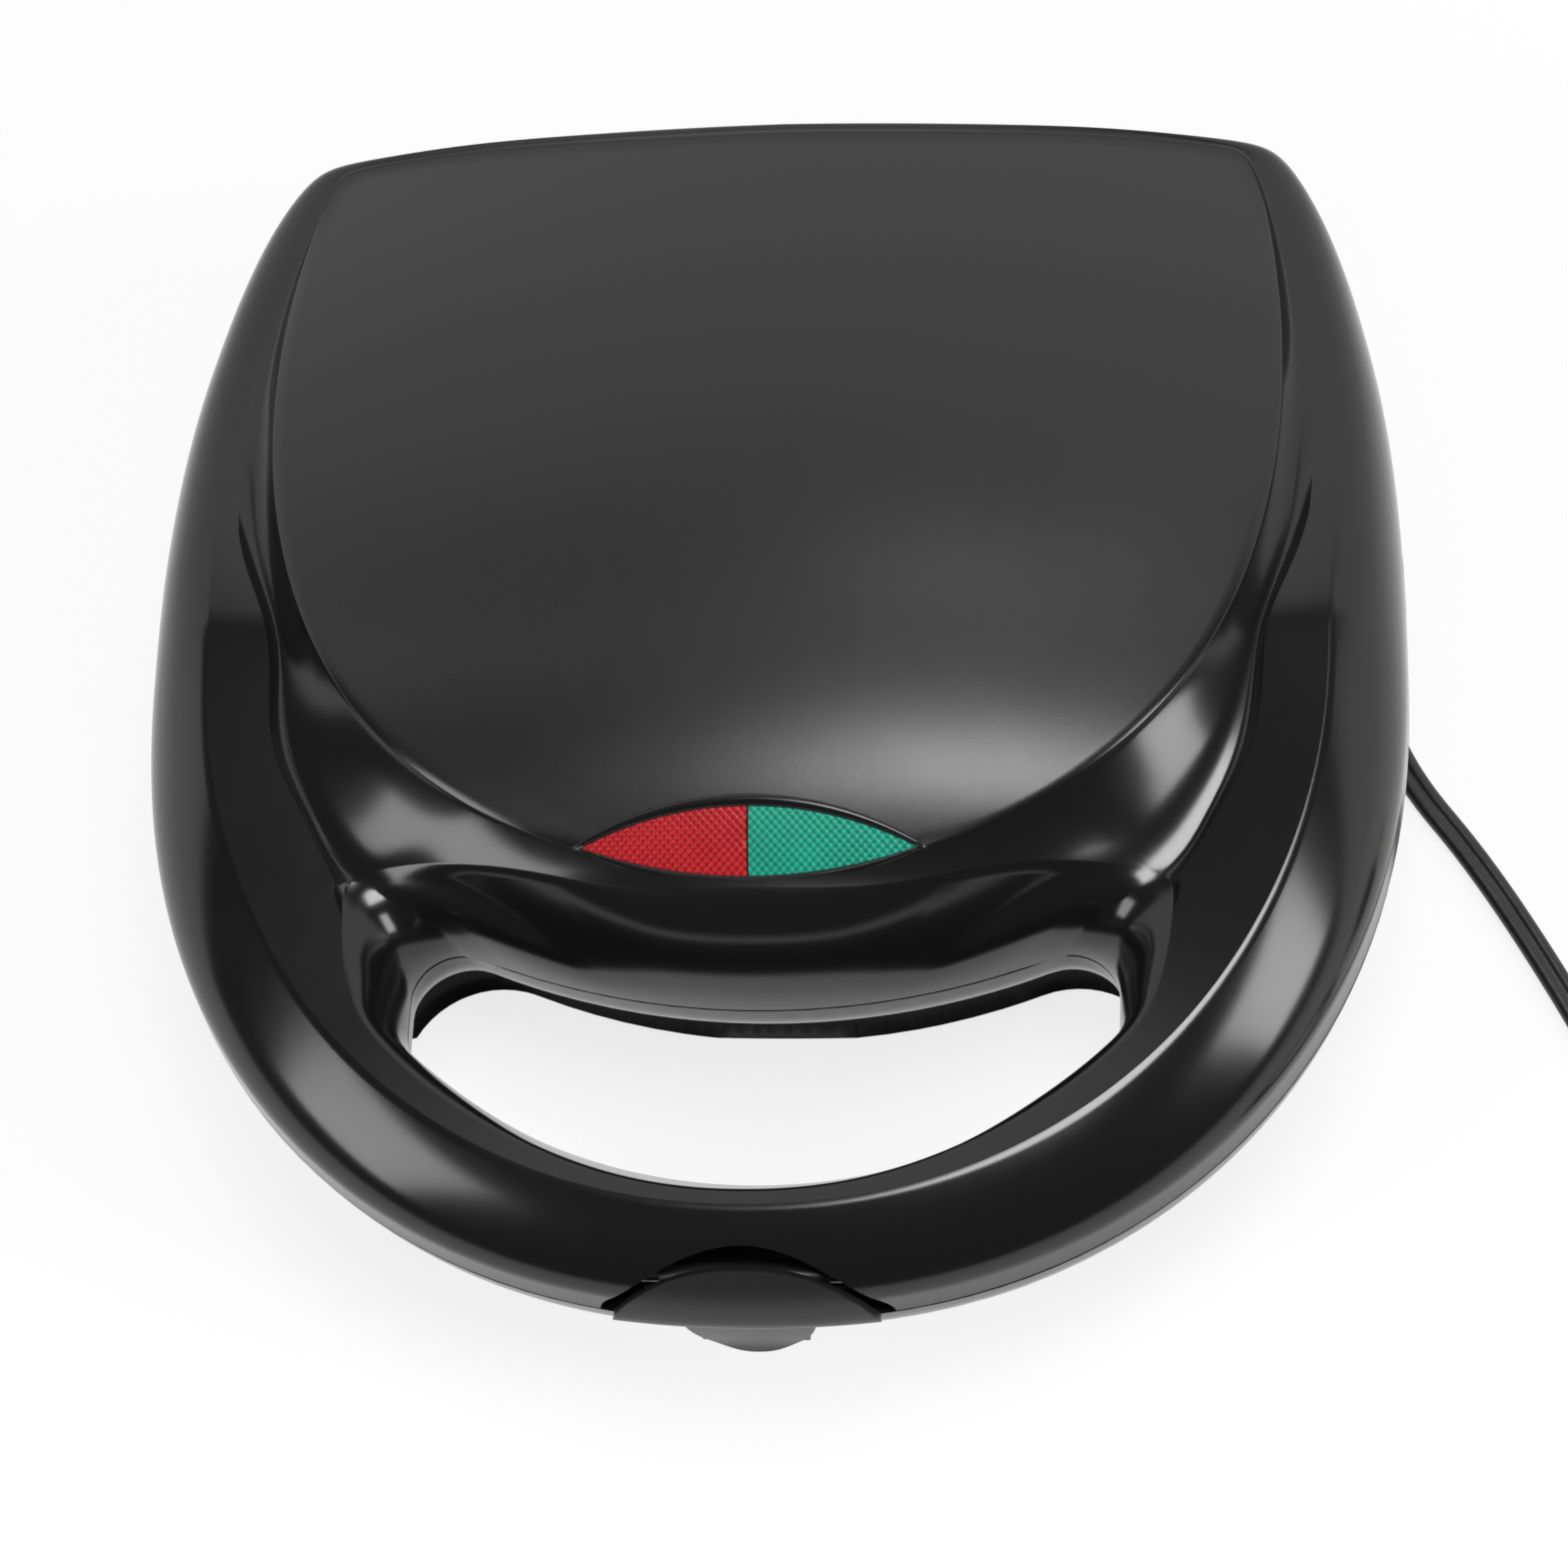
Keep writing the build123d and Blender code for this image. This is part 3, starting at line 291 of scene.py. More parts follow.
def casing_black(name, ior):
    """Moulded black plastic: glossy, with a satin fine grain where the attribute satin is 1."""
    f = Finish(name, (0.0075, 0.0075, 0.008), Roughness=0.16, IOR=ior)
    satin = f.node("ShaderNodeAttribute", {"attribute_name": "satin"}, output="Fac")
    cloud = f.noise(28, 2)
    streak = f.noise(260, 2, place=f.stretched(1, 0.25, 1))
    f.set("Roughness", 0.13 + 0.05 * cloud + 0.03 * streak + satin * 0.14)
    f.set("Base Color", f.blend(satin, (0.0065, 0.0065, 0.007), (0.0085, 0.0083, 0.0083)))
    grain = f.noise(3800, 2, 0.6)
    f.bump(grain * (0.12 + satin * 0.88), 0.00004, 0.5)
    return f


def moulded(name, color, rough, grain=2500, depth=0.00003, strength=0.5):
    """Moulded plastic or rubber with a fine grain and a slow change of gloss."""
    f = Finish(name, color, Roughness=rough)
    slow = f.noise(40, 2)
    fine = f.noise(grain, 3, 0.6)
    f.set("Roughness", (rough - 0.04) + 0.08 * slow)
    darker, lighter = [c * 0.86 for c in color], [min(1, c * 1.14) for c in color]
    f.set("Base Color", f.blend(f.noise(90, 3), darker, lighter))
    f.bump(fine, depth, strength)
    return f


def metal(name, color, rough, stretch=(1, 12, 1), depth=0.00002):
    """Drawn or rolled metal: a fine brushing along one way and small stains."""
    f = Finish(name, color, Metallic=1.0, Roughness=rough)
    brushing = f.noise(900, 2, place=f.stretched(*stretch))
    stain = f.noise(120, 4)
    f.set("Roughness", (rough - 0.06) + 0.12 * brushing)
    f.set("Base Color", f.blend(stain, [c * 0.8 for c in color], color))
    f.bump(brushing, depth, 0.4)
    return f


def woven_sleeving():
    """Woven glass sleeving over the leads: two crossed sets of fine threads."""
    f = Finish("woven_sleeving", (0.72, 0.7, 0.64), Roughness=0.75)
    x, y, z = f.axes()
    first = ((x + y + z) * 5200).sine()
    second = ((x + z - y) * 5200).sine()
    weave = first * second * 0.5 + 0.5
    f.set("Base Color", f.blend(weave, (0.5, 0.48, 0.43), (0.8, 0.78, 0.72)))
    f.bump(weave, 0.0002, 0.6)
    return f


def plate_coating():
    """Non-stick coating on the cast plates: near black, speckled, with a soft orange peel."""
    f = Finish("plate_coating", (0.022, 0.022, 0.024), Roughness=0.36, Metallic=0.0)
    speck = f.noise(1500, 2).above(0.67)
    f.set("Base Color", f.blend(speck * 0.5, (0.02, 0.02, 0.022), (0.16, 0.16, 0.17)))
    f.set("Roughness", 0.32 + 0.1 * f.noise(60, 2))
    f.bump(f.noise(700, 2), 0.00006, 0.5)
    return f


def lens_plastic(name, dark, bright):
    """Coloured plastic over rows of small pyramids 1.5 mm apart, with a painted highlight at their tips."""
    f = Finish(name, bright, Roughness=0.3, Coat_Weight=0.12, Coat_Roughness=0.08, IOR=1.3)
    x, y, _ = f.axes()
    cell = 2 * pi / 0.0015
    tips = (x * cell).sine() * (y * cell).sine() * 0.5 + 0.5
    cloud = f.noise(140, 2)
    # Base colour: painted highlight, lighter at the pyramid tips, mixed with a random cloud of tone
    f.set("Base Color", f.blend((tips * 0.75 + cloud * 0.35 - 0.05).least(1.0).most(0.0), dark, bright))
    f.bump(tips, 0.00022, 0.55)
    return f


def oxidised_steel():
    """Element sheath: steel turned dark and straw-coloured by heat."""
    f = Finish("oxidised_steel", (0.25, 0.22, 0.2), Metallic=1.0, Roughness=0.5)
    cloud = f.noise(70, 4)
    f.set("Base Color", f.blend(cloud, (0.09, 0.085, 0.09), (0.34, 0.27, 0.2)))
    f.set("Roughness", 0.4 + 0.25 * cloud)
    f.bump(f.noise(1400, 2), 0.00003, 0.5)
    return f


def flex_black():
    """PVC flex: black, half gloss, with faint wrinkles."""
    f = Finish("flex_black", (0.012, 0.012, 0.013), Roughness=0.33)
    f.set("Roughness", 0.27 + 0.12 * f.noise(90, 2))
    f.bump(f.noise(420, 2), 0.00012, 0.5)
    return f


BLACK = casing_black("casing_black", 1.5)
BASE_BLACK = casing_black("base_black", 1.22)
FLEX = flex_black()
STEEL = metal("zinc_plated_steel", (0.56, 0.56, 0.57), 0.3)
SHIELD = metal("mill_aluminium", (0.72, 0.72, 0.74), 0.34, (12, 1, 1))
BRASS = metal("bright_brass", (0.76, 0.6, 0.33), 0.22)
ELEMENT = oxidised_steel()
COATING = plate_coating()
WHITE = moulded("heat_proof_white", (0.68, 0.66, 0.6), 0.5)
BROWN = moulded("phenolic_brown", (0.16, 0.075, 0.04), 0.42)
SLEEVE = moulded("sleeve_black", (0.02, 0.02, 0.021), 0.5)
RUBBER = moulded("foot_rubber", (0.028, 0.028, 0.028), 0.7, 1800, 0.00005)
PLUG = moulded("plug_black", (0.014, 0.014, 0.015), 0.4)
LATCH = moulded("latch_grey", (0.0125, 0.0125, 0.013), 0.36, 2600, 0.00005, 0.7)
SLEEVING = woven_sleeving()
LAMP = Finish("lamp_glass", (0.85, 0.6, 0.42), Roughness=0.08, Transmission_Weight=0.6, IOR=1.5)
LAMP.set("Roughness", 0.05 + 0.06 * LAMP.noise(300, 2))
RED = lens_plastic("lens_red", (0.13, 0.0005, 0.002), (0.5, 0.006, 0.012))
GREEN = lens_plastic("lens_green", (0.0, 0.085, 0.055), (0.005, 0.36, 0.23))
LINER = moulded("liner_black", (0.0085, 0.0085, 0.009), 0.24)

FINISHES = {
    "gloss_black": LINER, "latch_grey": LATCH, "steel": STEEL, "red_lens": RED, "green_lens": GREEN,
    "white_plastic": WHITE, "lamp_glass": LAMP, "sleeve_black": SLEEVE, "brown_plastic": BROWN,
    "sleeving": SLEEVING, "cord_black": FLEX, "plug_black": PLUG, "pin_brass": BRASS,
    "nonstick_plate": COATING, "element_steel": ELEMENT, "shield_aluminium": SHIELD, "foot_rubber": RUBBER,
}
for row in frame["record"]["subparts"]:
    repaint_node(row["node"], FINISHES[row["material_slot"]])
paint(CORD, FLEX)


# ---------------------------------------------------------------- shape of the lid, in millimetres

WIDEST_Y, REAR_Y = 2.0, 112.0
HALF_WIDTH, FRONT_REACH, REAR_REACH = 116.0, 119.5, 152.0
LID_BASE, LID_TOP = 48.4, 87.0
LENS_HALF, LENS_TIP, LENS_TOP, LENS_LOW = 29.8, -40.7, -34.1, -45.8
SEAT_HALF, SEAT_FOOT, SEAT_PEAK = 25.9, 47.2, 62.8
LATCH_HALF = 23.4
WALL = 2.5


def natural_spline(xs, ys):
    """Cubic spline through the given points with straight ends, as a function of x."""
    xs, ys = np.asarray(xs, float), np.asarray(ys, float)
    step = np.diff(xs)
    count = len(xs)
    system = np.eye(count)
    right = np.zeros(count)
    for i in range(1, count - 1):
        system[i, i - 1:i + 2] = step[i - 1], 2 * (step[i - 1] + step[i]), step[i]
        right[i] = 6 * ((ys[i + 1] - ys[i]) / step[i] - (ys[i] - ys[i - 1]) / step[i - 1])
    bend = np.linalg.solve(system, right)

    def value(x):
        x = np.clip(x, xs[0], xs[-1])
        i = np.clip(np.searchsorted(xs, x) - 1, 0, count - 2)
        h, a, b = step[i], xs[i + 1] - x, x - xs[i]
        low, high = ys[i] / h - bend[i] * h / 6, ys[i + 1] / h - bend[i + 1] * h / 6
        return (bend[i] * a**3 + bend[i + 1] * b**3) / (6 * h) + low * a + high * b

    return value


def ramp(x, low, high):
    """Smooth step from 0 at low to 1 at high."""
    t = np.clip((x - low) / (high - low), 0, 1)
    return t * t * (3 - 2 * t)


def soft_least(a, b, width):
    """The smaller of two values, rounded where they meet."""
    low = np.minimum(a, b)
    return low - width * np.log(np.exp((low - a) / width) + np.exp((low - b) / width))


def oval(turn, half_width, reach, power):
    """Radius of a superellipse for an angle about its middle."""
    across, along_y = np.abs(np.cos(turn) / half_width), np.abs(np.sin(turn) / reach)
    return (across**power + along_y**power) ** (-1 / power)


def outline_radius(turn):
    """Outline at the parting plane: one superellipse in front, a longer one behind, cut at the back."""
    front = oval(turn, HALF_WIDTH, FRONT_REACH, 2.2)
    rear = oval(turn, HALF_WIDTH, REAR_REACH, 2.57)
    wall = (REAR_Y - WIDEST_Y) / np.maximum(np.sin(turn), 1e-3)
    return np.where(np.sin(turn) < 0, front, soft_least(rear, wall, 2.45))


CROWN_LINE = natural_spline((-70, -45.7, -34, 0, 30, 70, 118), (63, 76, 81, 85.5, 87, 84.2, 73.2))


def crown(x, y):
    """Height of the top panel: its line along Y, turned about a far axis along Y."""
    drop = 401.0 - LID_TOP
    return np.sqrt((CROWN_LINE(y) + drop) ** 2 - x**2) - drop


def rail(points, count=60):
    """Dense smooth line through given points in the plane, as a spline over their distance."""
    points = np.asarray(points, float)
    run = np.append(0, np.cumsum(np.linalg.norm(np.diff(points, axis=0), axis=1)))
    place = np.linspace(0, run[-1], count * len(points))
    return np.stack([natural_spline(run, points[:, k])(place) for k in (0, 1)], 1)


def by_turn(line):
    """Radius about the lid's middle as a function of the angle, for a line that only turns one way."""
    turn = np.arctan2(line[:, 1] - WIDEST_Y, line[:, 0])
    reach = np.hypot(line[:, 0], line[:, 1] - WIDEST_Y)
    if turn[0] > turn[-1]:
        turn, reach = turn[::-1], reach[::-1]
    turn = np.maximum.accumulate(turn)
    return lambda angle: np.interp(angle, turn, reach)


# Rim of the finger opening, right half: along the brow to the end, then back along the ring
BROW_RIM = [(-6, -47.6), (0, -47.6), (12, -47.7), (23, -47.0), (34, -44.9), (46, -42.3),
            (57, -40.7), (65, -40.3), (69.6, -40.9), (72, -41.9)]
RING_RIM = [(72, -41.9), (73.3, -44.8), (73.6, -48.7), (73.1, -54), (72.1, -59.5), (70.3, -65.6),
            (67.3, -70.4), (62, -76.2), (55, -81.9), (44.7, -88.6), (28.5, -96.1), (18, -98.9),
            (7, -100.3), (0, -100.5), (-7, -100.3)]
BROW_TURN = by_turn(rail(BROW_RIM))
RING_TURN = by_turn(rail(RING_RIM))
END_TURN = np.arctan2(BROW_RIM[-1][1] - WIDEST_Y, float(BROW_RIM[-1][0]))


def half_turns():
    """Angles of the grid's spokes over the right half, finer at the opening's end and at the rear corner."""
    share = np.linspace(0, 1, 88)
    front = -pi / 2 + (END_TURN + pi / 2) * (0.3 * share + 0.7 * (1 - (1 - share) ** 2.2))
    start, corner, stop = END_TURN, radians(49.8), pi / 2
    share = np.linspace(0, 1, 74)
    side = start + (corner - start) * (0.35 * share + 0.65 * (1 - np.cos(pi * share)) / 2)
    share = np.linspace(0, 1, 36)
    back = corner + (stop - corner) * (0.3 * share + 0.7 * share**1.8)
    return np.concatenate([front, side[1:], back[1:]]), len(front) - 1


def panel_edge_radius(turn):
    """Shield-shaped edge of the top panel: a superellipse about y = 60 in front, drawn in behind."""
    t = np.linspace(0, pi / 2, 400)
    front = np.stack([93.3 * np.cos(t) ** (2 / 2.3), 60 - 104.0 * np.sin(t) ** (2 / 2.3)], 1)[::-1]
    y = np.linspace(60.3, 125, 200)
    rear = np.stack([93.3 - 7.3 * ((y - 60) / 52) ** 2, y], 1)
    reach = by_turn(np.vstack([front, rear]))(turn)
    back = (REAR_Y - 3.4 - WIDEST_Y) / np.maximum(np.sin(turn), 1e-3)
    return np.where(np.sin(turn) > 0, soft_least(reach, back, 1.6), reach)


def at(reach, turn):
    """Points at given radii and angles about the lid's middle."""
    return reach * np.cos(turn), WIDEST_Y + reach * np.sin(turn)


def lid_lines(turn):
    """The lid's feature lines for each spoke: crest, inner edge of the flat band, valley and panel edge."""
    front = np.sin(turn) < 0
    outline = outline_radius(turn)
    degrees = np.degrees(turn)
    crest_inset = natural_spline((-10, 0, 15, 32, 45, 52, 70, 90),
                                 (15.2, 14.6, 13.3, 10.6, 7.4, 3.4, 2.2, 2.2))
    crest = np.where(front, oval(turn, 101.4, 104.0, 2.1), outline - crest_inset(degrees))
    panel = panel_edge_radius(turn)
    end = np.degrees(END_TURN)
    side = turn >= END_TURN - 1e-9
    valley_line = natural_spline((-90, -75, -60, -45, -36, end, -27.5, -22.6, -14.8, -0.6, 16),
                                 (59, 61, 67, 77, 82.4, 84.3, 85.7, 86.4, 87.3, 88.4, 97.6))
    stripe = natural_spline((end, -27.5, -14.8, -0.6, 16), (3.3, 1.9, 2.7, 1.7, 1.9))
    rear = ramp(degrees, 0, 16)
    valley = valley_line(degrees) * (1 - rear) + (panel + 0.42 * (crest - panel)) * rear
    band = (valley_line(degrees) + stripe(degrees)) * (1 - rear) + (panel + 0.68 * (crest - panel)) * rear
    ring_rim = RING_TURN(turn)
    brow_rim = BROW_TURN(turn)
    reach_end = np.clip((degrees + 36.0) / (end + 36.0), 0, 1)
    band = np.where(side, band, ring_rim + 3.3 * reach_end**2)
    inner = np.where(side, valley, brow_rim)
    outer = np.where(side, valley, ring_rim)
    panel = np.minimum(panel, inner - 2.0)
    x, y = at(crest, turn)
    ring = np.where(y < 5, 75.8 + 0.098 * (y - 5), 75.8 - 0.0012 * (y - 5) ** 2)
    back = ramp(y, 25, 85)
    corner = ramp(degrees, 38, 50)
    crest_z = ring * (1 - back) + (crown(x, y) - 0.5 + 0.2 * corner) * back
    band_z = crest_z - (0.25 + 0.07 * (crest - band)) * (1 - corner)
    panel_x, panel_y = at(panel, turn)
    panel_z = crown(panel_x, panel_y)
    valley_z = natural_spline((-90, -75, -60, -45, -36, end, -25, -14.8, -0.6, 16, 31),
                              (74.0, 73.6, 72.0, 68.9, 66.9, 66.4, 67.4, 69.6, 71.6, 73.0, 73.0))(degrees)
    low = np.minimum(crest_z, panel_z) - 0.5 * (1 - corner)
    valley_z = valley_z * (1 - ramp(degrees, 16, 34)) + low * ramp(degrees, 16, 34)
    sink = ramp(degrees, -43.0, end)
    outer_z = np.where(side, valley_z, band_z * (1 - sink) + 66.4 * sink)
    return dict(outline=outline, crest=crest, band=band, outer=outer, inner=inner, panel=panel,
                crest_z=crest_z, band_z=band_z, outer_z=outer_z, panel_z=panel_z, corner=corner,
                valley=valley, valley_z=valley_z)


def lid_rows():
    """Rows of points over the right half of the lid, from the parting plane to the middle.

    Flank: part of a superellipse quarter between the outline and the crest. Band: nearly level.
    Valley: a power of the share of the way, steep at the band. Sweep: a concave power curve of the
    distance between the valley line and the panel's edge, cut off at the brow's rim in front; then
    a small step, and the panel's own crown.
    """
    turn, last = half_turns()
    line = lid_lines(turn)
    rows, satin = [], []

    def row(reach, height, shine=0.0):
        x, y = at(reach, turn)
        rows.append(np.stack([x, y, np.broadcast_to(height, x.shape)], 1))
        satin.append(np.broadcast_to(shine, x.shape))

    outline, crest = line["outline"], line["crest"]
    y_crest = at(crest, turn)[1]
    rise = (line["crest_z"] - 54.0) * (1 - ramp(y_crest, 60, 106)) + 5.0 * ramp(y_crest, 60, 106)
    start_z = line["crest_z"] - rise
    row(outline, LID_BASE)
    row(outline - 0.05, LID_BASE + 0.4)
    for share in (0.3, 0.65):
        row(outline - 0.05 - 0.4 * share, LID_BASE + (start_z - LID_BASE) * share)
    full = np.radians(47 + 42.9 * ramp(y_crest, -25, 20))
    for step in np.linspace(0, 1, 22):
        t = full * step
        inward = (1 - np.cos(t) ** (2 / 2.2)) / (1 - np.cos(full) ** (2 / 2.2))
        upward = (np.sin(t) / np.sin(full)) ** (2 / 1.95)
        row(outline - 0.45 - (outline - 0.45 - crest) * inward, start_z + rise * upward)
    band, outer = line["band"], line["outer"]
    for share in (0.04, 0.3, 0.6, 0.92, 1.0):
        row(crest + (band - crest) * share, line["crest_z"] + (line["band_z"] - line["crest_z"]) * share)
    for share in (0.06, 0.15, 0.28, 0.42, 0.58, 0.78, 1.0):
        height = line["outer_z"] + (line["band_z"] - line["outer_z"]) * (1 - share) ** 1.9
        row(band + (outer - band) * share, height, line["corner"])
    outer_count = len(rows)
    inner, panel = line["inner"], line["panel"]
    step_up = 0.75 * ramp(np.degrees(turn), -75, -20) * (1 - line["corner"])
    foot_z = line["panel_z"] - step_up
    power = 1.75
    lip = 0.55
    deep, deep_z = line["valley"] - panel - lip, line["valley_z"]
    for share in np.linspace(0, 1, 24)[::-1]:
        away = (inner - panel - lip) * share
        row(panel + lip + away, deep_z + (foot_z - deep_z) * (1 - away / deep) ** power, line["corner"])
    row(panel + 0.5 * lip, foot_z + 0.55 * step_up + 0.02, line["corner"])
    for share in 1 - np.linspace(0, 1, 27)[:-1] ** 1.15:
        reach = panel * share
        x, y = at(reach, turn)
        edge = np.clip((panel - reach) / 1.2, 0, 1)
        shine = np.maximum(ramp(panel - reach, 0.2, 2.2), line["corner"])
        row(reach, crown(x, y) - 0.12 * step_up * (1 - edge), shine)
    rows.append(np.tile((0.0, WIDEST_Y, float(crown(0.0, WIDEST_Y))), (len(turn), 1)))
    satin.append(np.ones(len(turn)))
    return np.array(rows), np.array(satin), outer_count, last


def opening_outline(count=720):
    """Crescent of the finger opening at the parting plane: two arcs, straight ends and rounded corners."""
    near, near_y, far, far_y, end, corner = 96.0, 3.0, 140.0, 80.0, 64.0, 9.0
    x = end - corner
    low = near_y - np.sqrt((near - corner) ** 2 - x**2)
    high = far_y - np.sqrt((far + corner) ** 2 - x**2)
    low_turn = np.arctan2(low - near_y, x)
    high_turn = np.arctan2(far_y - high, -x)
    near_arc = np.linspace(-pi / 2, low_turn, count)
    low_arc = np.linspace(low_turn, 0, count)
    high_arc = np.linspace(0, high_turn, count)
    far_arc = np.linspace(high_turn - pi, -pi / 2, count)
    pieces = [
        (near * np.cos(near_arc), near_y + near * np.sin(near_arc)),
        (x + corner * np.cos(low_arc), low + corner * np.sin(low_arc)),
        (x + corner * np.cos(high_arc), high + corner * np.sin(high_arc)),
        (far * np.cos(far_arc), far_y + far * np.sin(far_arc)),
    ]
    return np.concatenate([np.stack(piece, 1) for piece in pieces])


def ring_quads(rows, count, offset=0, closed=True):
    """Quads between rows of points that run round the lid."""
    row, point = np.meshgrid(np.arange(rows - 1), np.arange(count if closed else count - 1), indexing="ij")
    after = (point + 1) % count
    first, second = offset + row * count, offset + (row + 1) * count
    return np.stack([first + point, first + after, second + after, second + point], -1).reshape(-1, 4)


def whole_round(rows):
    """Rows of the right half joined to their mirror image, as closed rings that start at the front."""
    left = rows[:, -2:0:-1].copy()
    if rows.ndim == 3:
        left[..., 0] *= -1
    return np.concatenate([rows, left], 1)


def upper_shell():
    """Upper shell: the lid's outside with the wall of the finger opening, closed by a floor at the parting
    plane, to be thickened inward by make_lid.
    """
    rows, satin, outer_count, last = lid_rows()
    count = 2 * (rows.shape[1] - 1)
    outer, inner = whole_round(rows[:outer_count]), whole_round(rows[outer_count:])
    points = np.concatenate([outer.reshape(-1, 3), inner.reshape(-1, 3)])
    shine = np.concatenate([whole_round(part).ravel() for part in (satin[:outer_count], satin[outer_count:])])
    faces = [ring_quads(len(outer), count), ring_quads(len(inner), count, outer_count * count)]
    # Wall of the opening: right half loop from the brow's middle round the end to the ring's middle
    brow = rows[outer_count, :last + 1]
    ring = rows[outer_count - 1, :last + 1][::-1]
    rim = np.concatenate([brow, ring[1:]])
    middle = np.array((0.0, -74.0))
    mouth = opening_outline()
    mouth_turn = np.arctan2(mouth[:, 1] - middle[1], mouth[:, 0])
    rim_turn = np.arctan2(rim[:, 1] - middle[1], rim[:, 0])
    order = np.argsort(mouth_turn)
    foot = np.stack([np.interp(rim_turn, mouth_turn[order], mouth[order, k]) for k in (0, 1)], 1)
    near = ramp(-rim_turn, -0.15, 0.45)[:, None]
    slope = (rows[outer_count + 1, :last + 1] - brow)
    slope = slope[:, 2] / np.hypot(slope[:, 0], slope[:, 1]).clip(1e-3)
    slope = np.append(slope, np.zeros(len(rim) - len(brow)))
    width = np.hypot(*(foot - rim[:, :2]).T)
    lean = (slope.clip(0, 0.5) * width / (rim[:, 2] - LID_BASE) * ramp(70.0 - rim[:, 0], 0, 18))[:, None]
    shares = (0, .1, .2, .3, .4, .6, .8, 1)
    wall = []
    for t in np.append(np.linspace(0, 1, 15), 1.02):
        angle = pi / 2 * min(t, 1)
        round_in, round_down = sin(angle), 0.95 * (1 - cos(angle))
        steep = min(t, 1)
        steep_in = np.interp(steep, shares, (0, .05, .12, .19, .235, .47, .73, 1))
        steep_down = np.interp(steep, shares, (0, .003, .016, .033, .065, .35, .67, .99))
        inward = round_in * (1 - near) + steep_in * near
        round_down += lean * pi / 2 * steep * (1 - steep) ** 2
        down = round_down * (1 - near) + steep_down * near
        if t > 1:
            down = np.ones_like(near)
        flat = rim[:, :2] + (foot - rim[:, :2]) * inward
        height = rim[:, 2:] + (LID_BASE - rim[:, 2:]) * down
        wall.append(np.hstack([flat, height]))
    wall = np.array(wall)
    wall_round = whole_round(wall)
    wall_count = wall_round.shape[1]
    wall_faces = ring_quads(len(wall_round), wall_count, len(points))
    bottom = [outer[0], wall_round[-1]]
    starts = (0, len(points) + (len(wall_round) - 1) * wall_count)
    numbers = np.concatenate([start + np.arange(len(loop)) for start, loop in zip(starts, bottom)])
    floor = [numbers[list(face)].tolist() for face in tessellate_polygon([loop.tolist() for loop in bottom])]
    points = np.concatenate([points, wall_round.reshape(-1, 3)])
    shine = np.concatenate([shine, np.zeros(len(wall_round) * wall_count)])
    faces = np.concatenate(faces + [wall_faces])
    mesh = bpy.data.meshes.new("upper_casing")
    mesh.from_pydata(points * MM, [], faces.tolist() + floor)
    mesh.attributes.new("satin", "FLOAT", "POINT").data.foreach_set("value", shine.astype(np.float32))
    piece = bpy.data.objects.new("upper_casing", mesh)
    SCENE.collection.objects.link(piece)
    clean(piece, 2e-6)
    face_away(piece)
    return piece


def clean(piece, distance):
    """Merge doubled points and drop faces without area."""
    work = bmesh.new()
    work.from_mesh(piece.data)
    bmesh.ops.remove_doubles(work, verts=work.verts, dist=distance)
    bmesh.ops.dissolve_degenerate(work, dist=distance / 2, edges=work.edges)
    work.to_mesh(piece.data)
    work.free()


def face_away(piece, way=None):
    """Turn all faces outward, or on an open sheet so that most of them look the given way."""
    work = bmesh.new()
    work.from_mesh(piece.data)
    bmesh.ops.recalc_face_normals(work, faces=work.faces)
    if way and sum(f.normal.dot(way) * f.calc_area() for f in work.faces) < 0:
        bmesh.ops.reverse_faces(work, faces=work.faces)
    work.to_mesh(piece.data)
    work.free()


def apply_all(piece):
    """Apply a piece's modifiers to its mesh."""
    mesh = bpy.data.meshes.new_from_object(piece.evaluated_get(bpy.context.evaluated_depsgraph_get()))
    piece.modifiers.clear()
    piece.data = mesh


def prism(name, outline, low, high):
    """Upright closed prism over a flat outline of points."""
    outline = np.asarray(outline, float)
    count = len(outline)
    rings = [np.hstack([outline, np.full((count, 1), z)]) for z in (low, high)]
    return mesh_piece(name, np.concatenate(rings), tube_faces(2, count), smooth=False)


def lens_outline(growth, count=48):
    """Almond of the lens window: two arcs through its tips and the middles of its long sides."""
    half, tip, top, low = LENS_HALF + growth, LENS_TIP, LENS_TOP + growth, LENS_LOW - growth

    def arc(peak):
        rise = peak - tip
        radius = (half**2 + rise**2) / (2 * abs(rise))
        centre = peak - np.sign(rise) * radius
        x = np.linspace(half, -half, count)
        return np.stack([x, centre + np.sign(rise) * np.sqrt(radius**2 - x**2)], 1)

    return np.concatenate([arc(top)[:-1], arc(low)[::-1][:-1]])


def cut(piece, cutter):
    """Take a closed cutter out of a piece, and drop the cutter."""
    face_away(cutter)
    tool = piece.modifiers.new("cut", "BOOLEAN")
    tool.operation = "DIFFERENCE"
    tool.solver = "EXACT"
    tool.object = cutter
    bpy.context.view_layer.update()
    apply_all(piece)
    clean(piece, 1e-7)
    bpy.data.objects.remove(cutter)


def smooth_by_angle(piece, degrees):
    """Smooth shading with sharp edges where faces meet at more than an angle."""
    mesh = piece.data
    mesh.polygons.foreach_set("use_smooth", np.ones(len(mesh.polygons), bool))
    mesh.set_sharp_from_angle(angle=radians(degrees))


def smooth_copy(node, name, degrees):
    """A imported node's shape with its loose triangles merged, so that its curved faces shade smoothly."""
    mesh = NODES[node].data.copy()
    piece = bpy.data.objects.new(name, mesh)
    SCENE.collection.objects.link(piece)
    clean(piece, 2e-6)
    smooth_by_angle(piece, degrees)
    return piece


def open_up(piece, unwanted):
    """Drop the faces whose middle (in millimetres) and normal the test names."""
    work = bmesh.new()
    work.from_mesh(piece.data)
    doomed = [f for f in work.faces if unwanted(f.calc_center_median() / MM, f.normal)]
    bmesh.ops.delete(work, geom=doomed, context="FACES")
    work.to_mesh(piece.data)
    work.free()


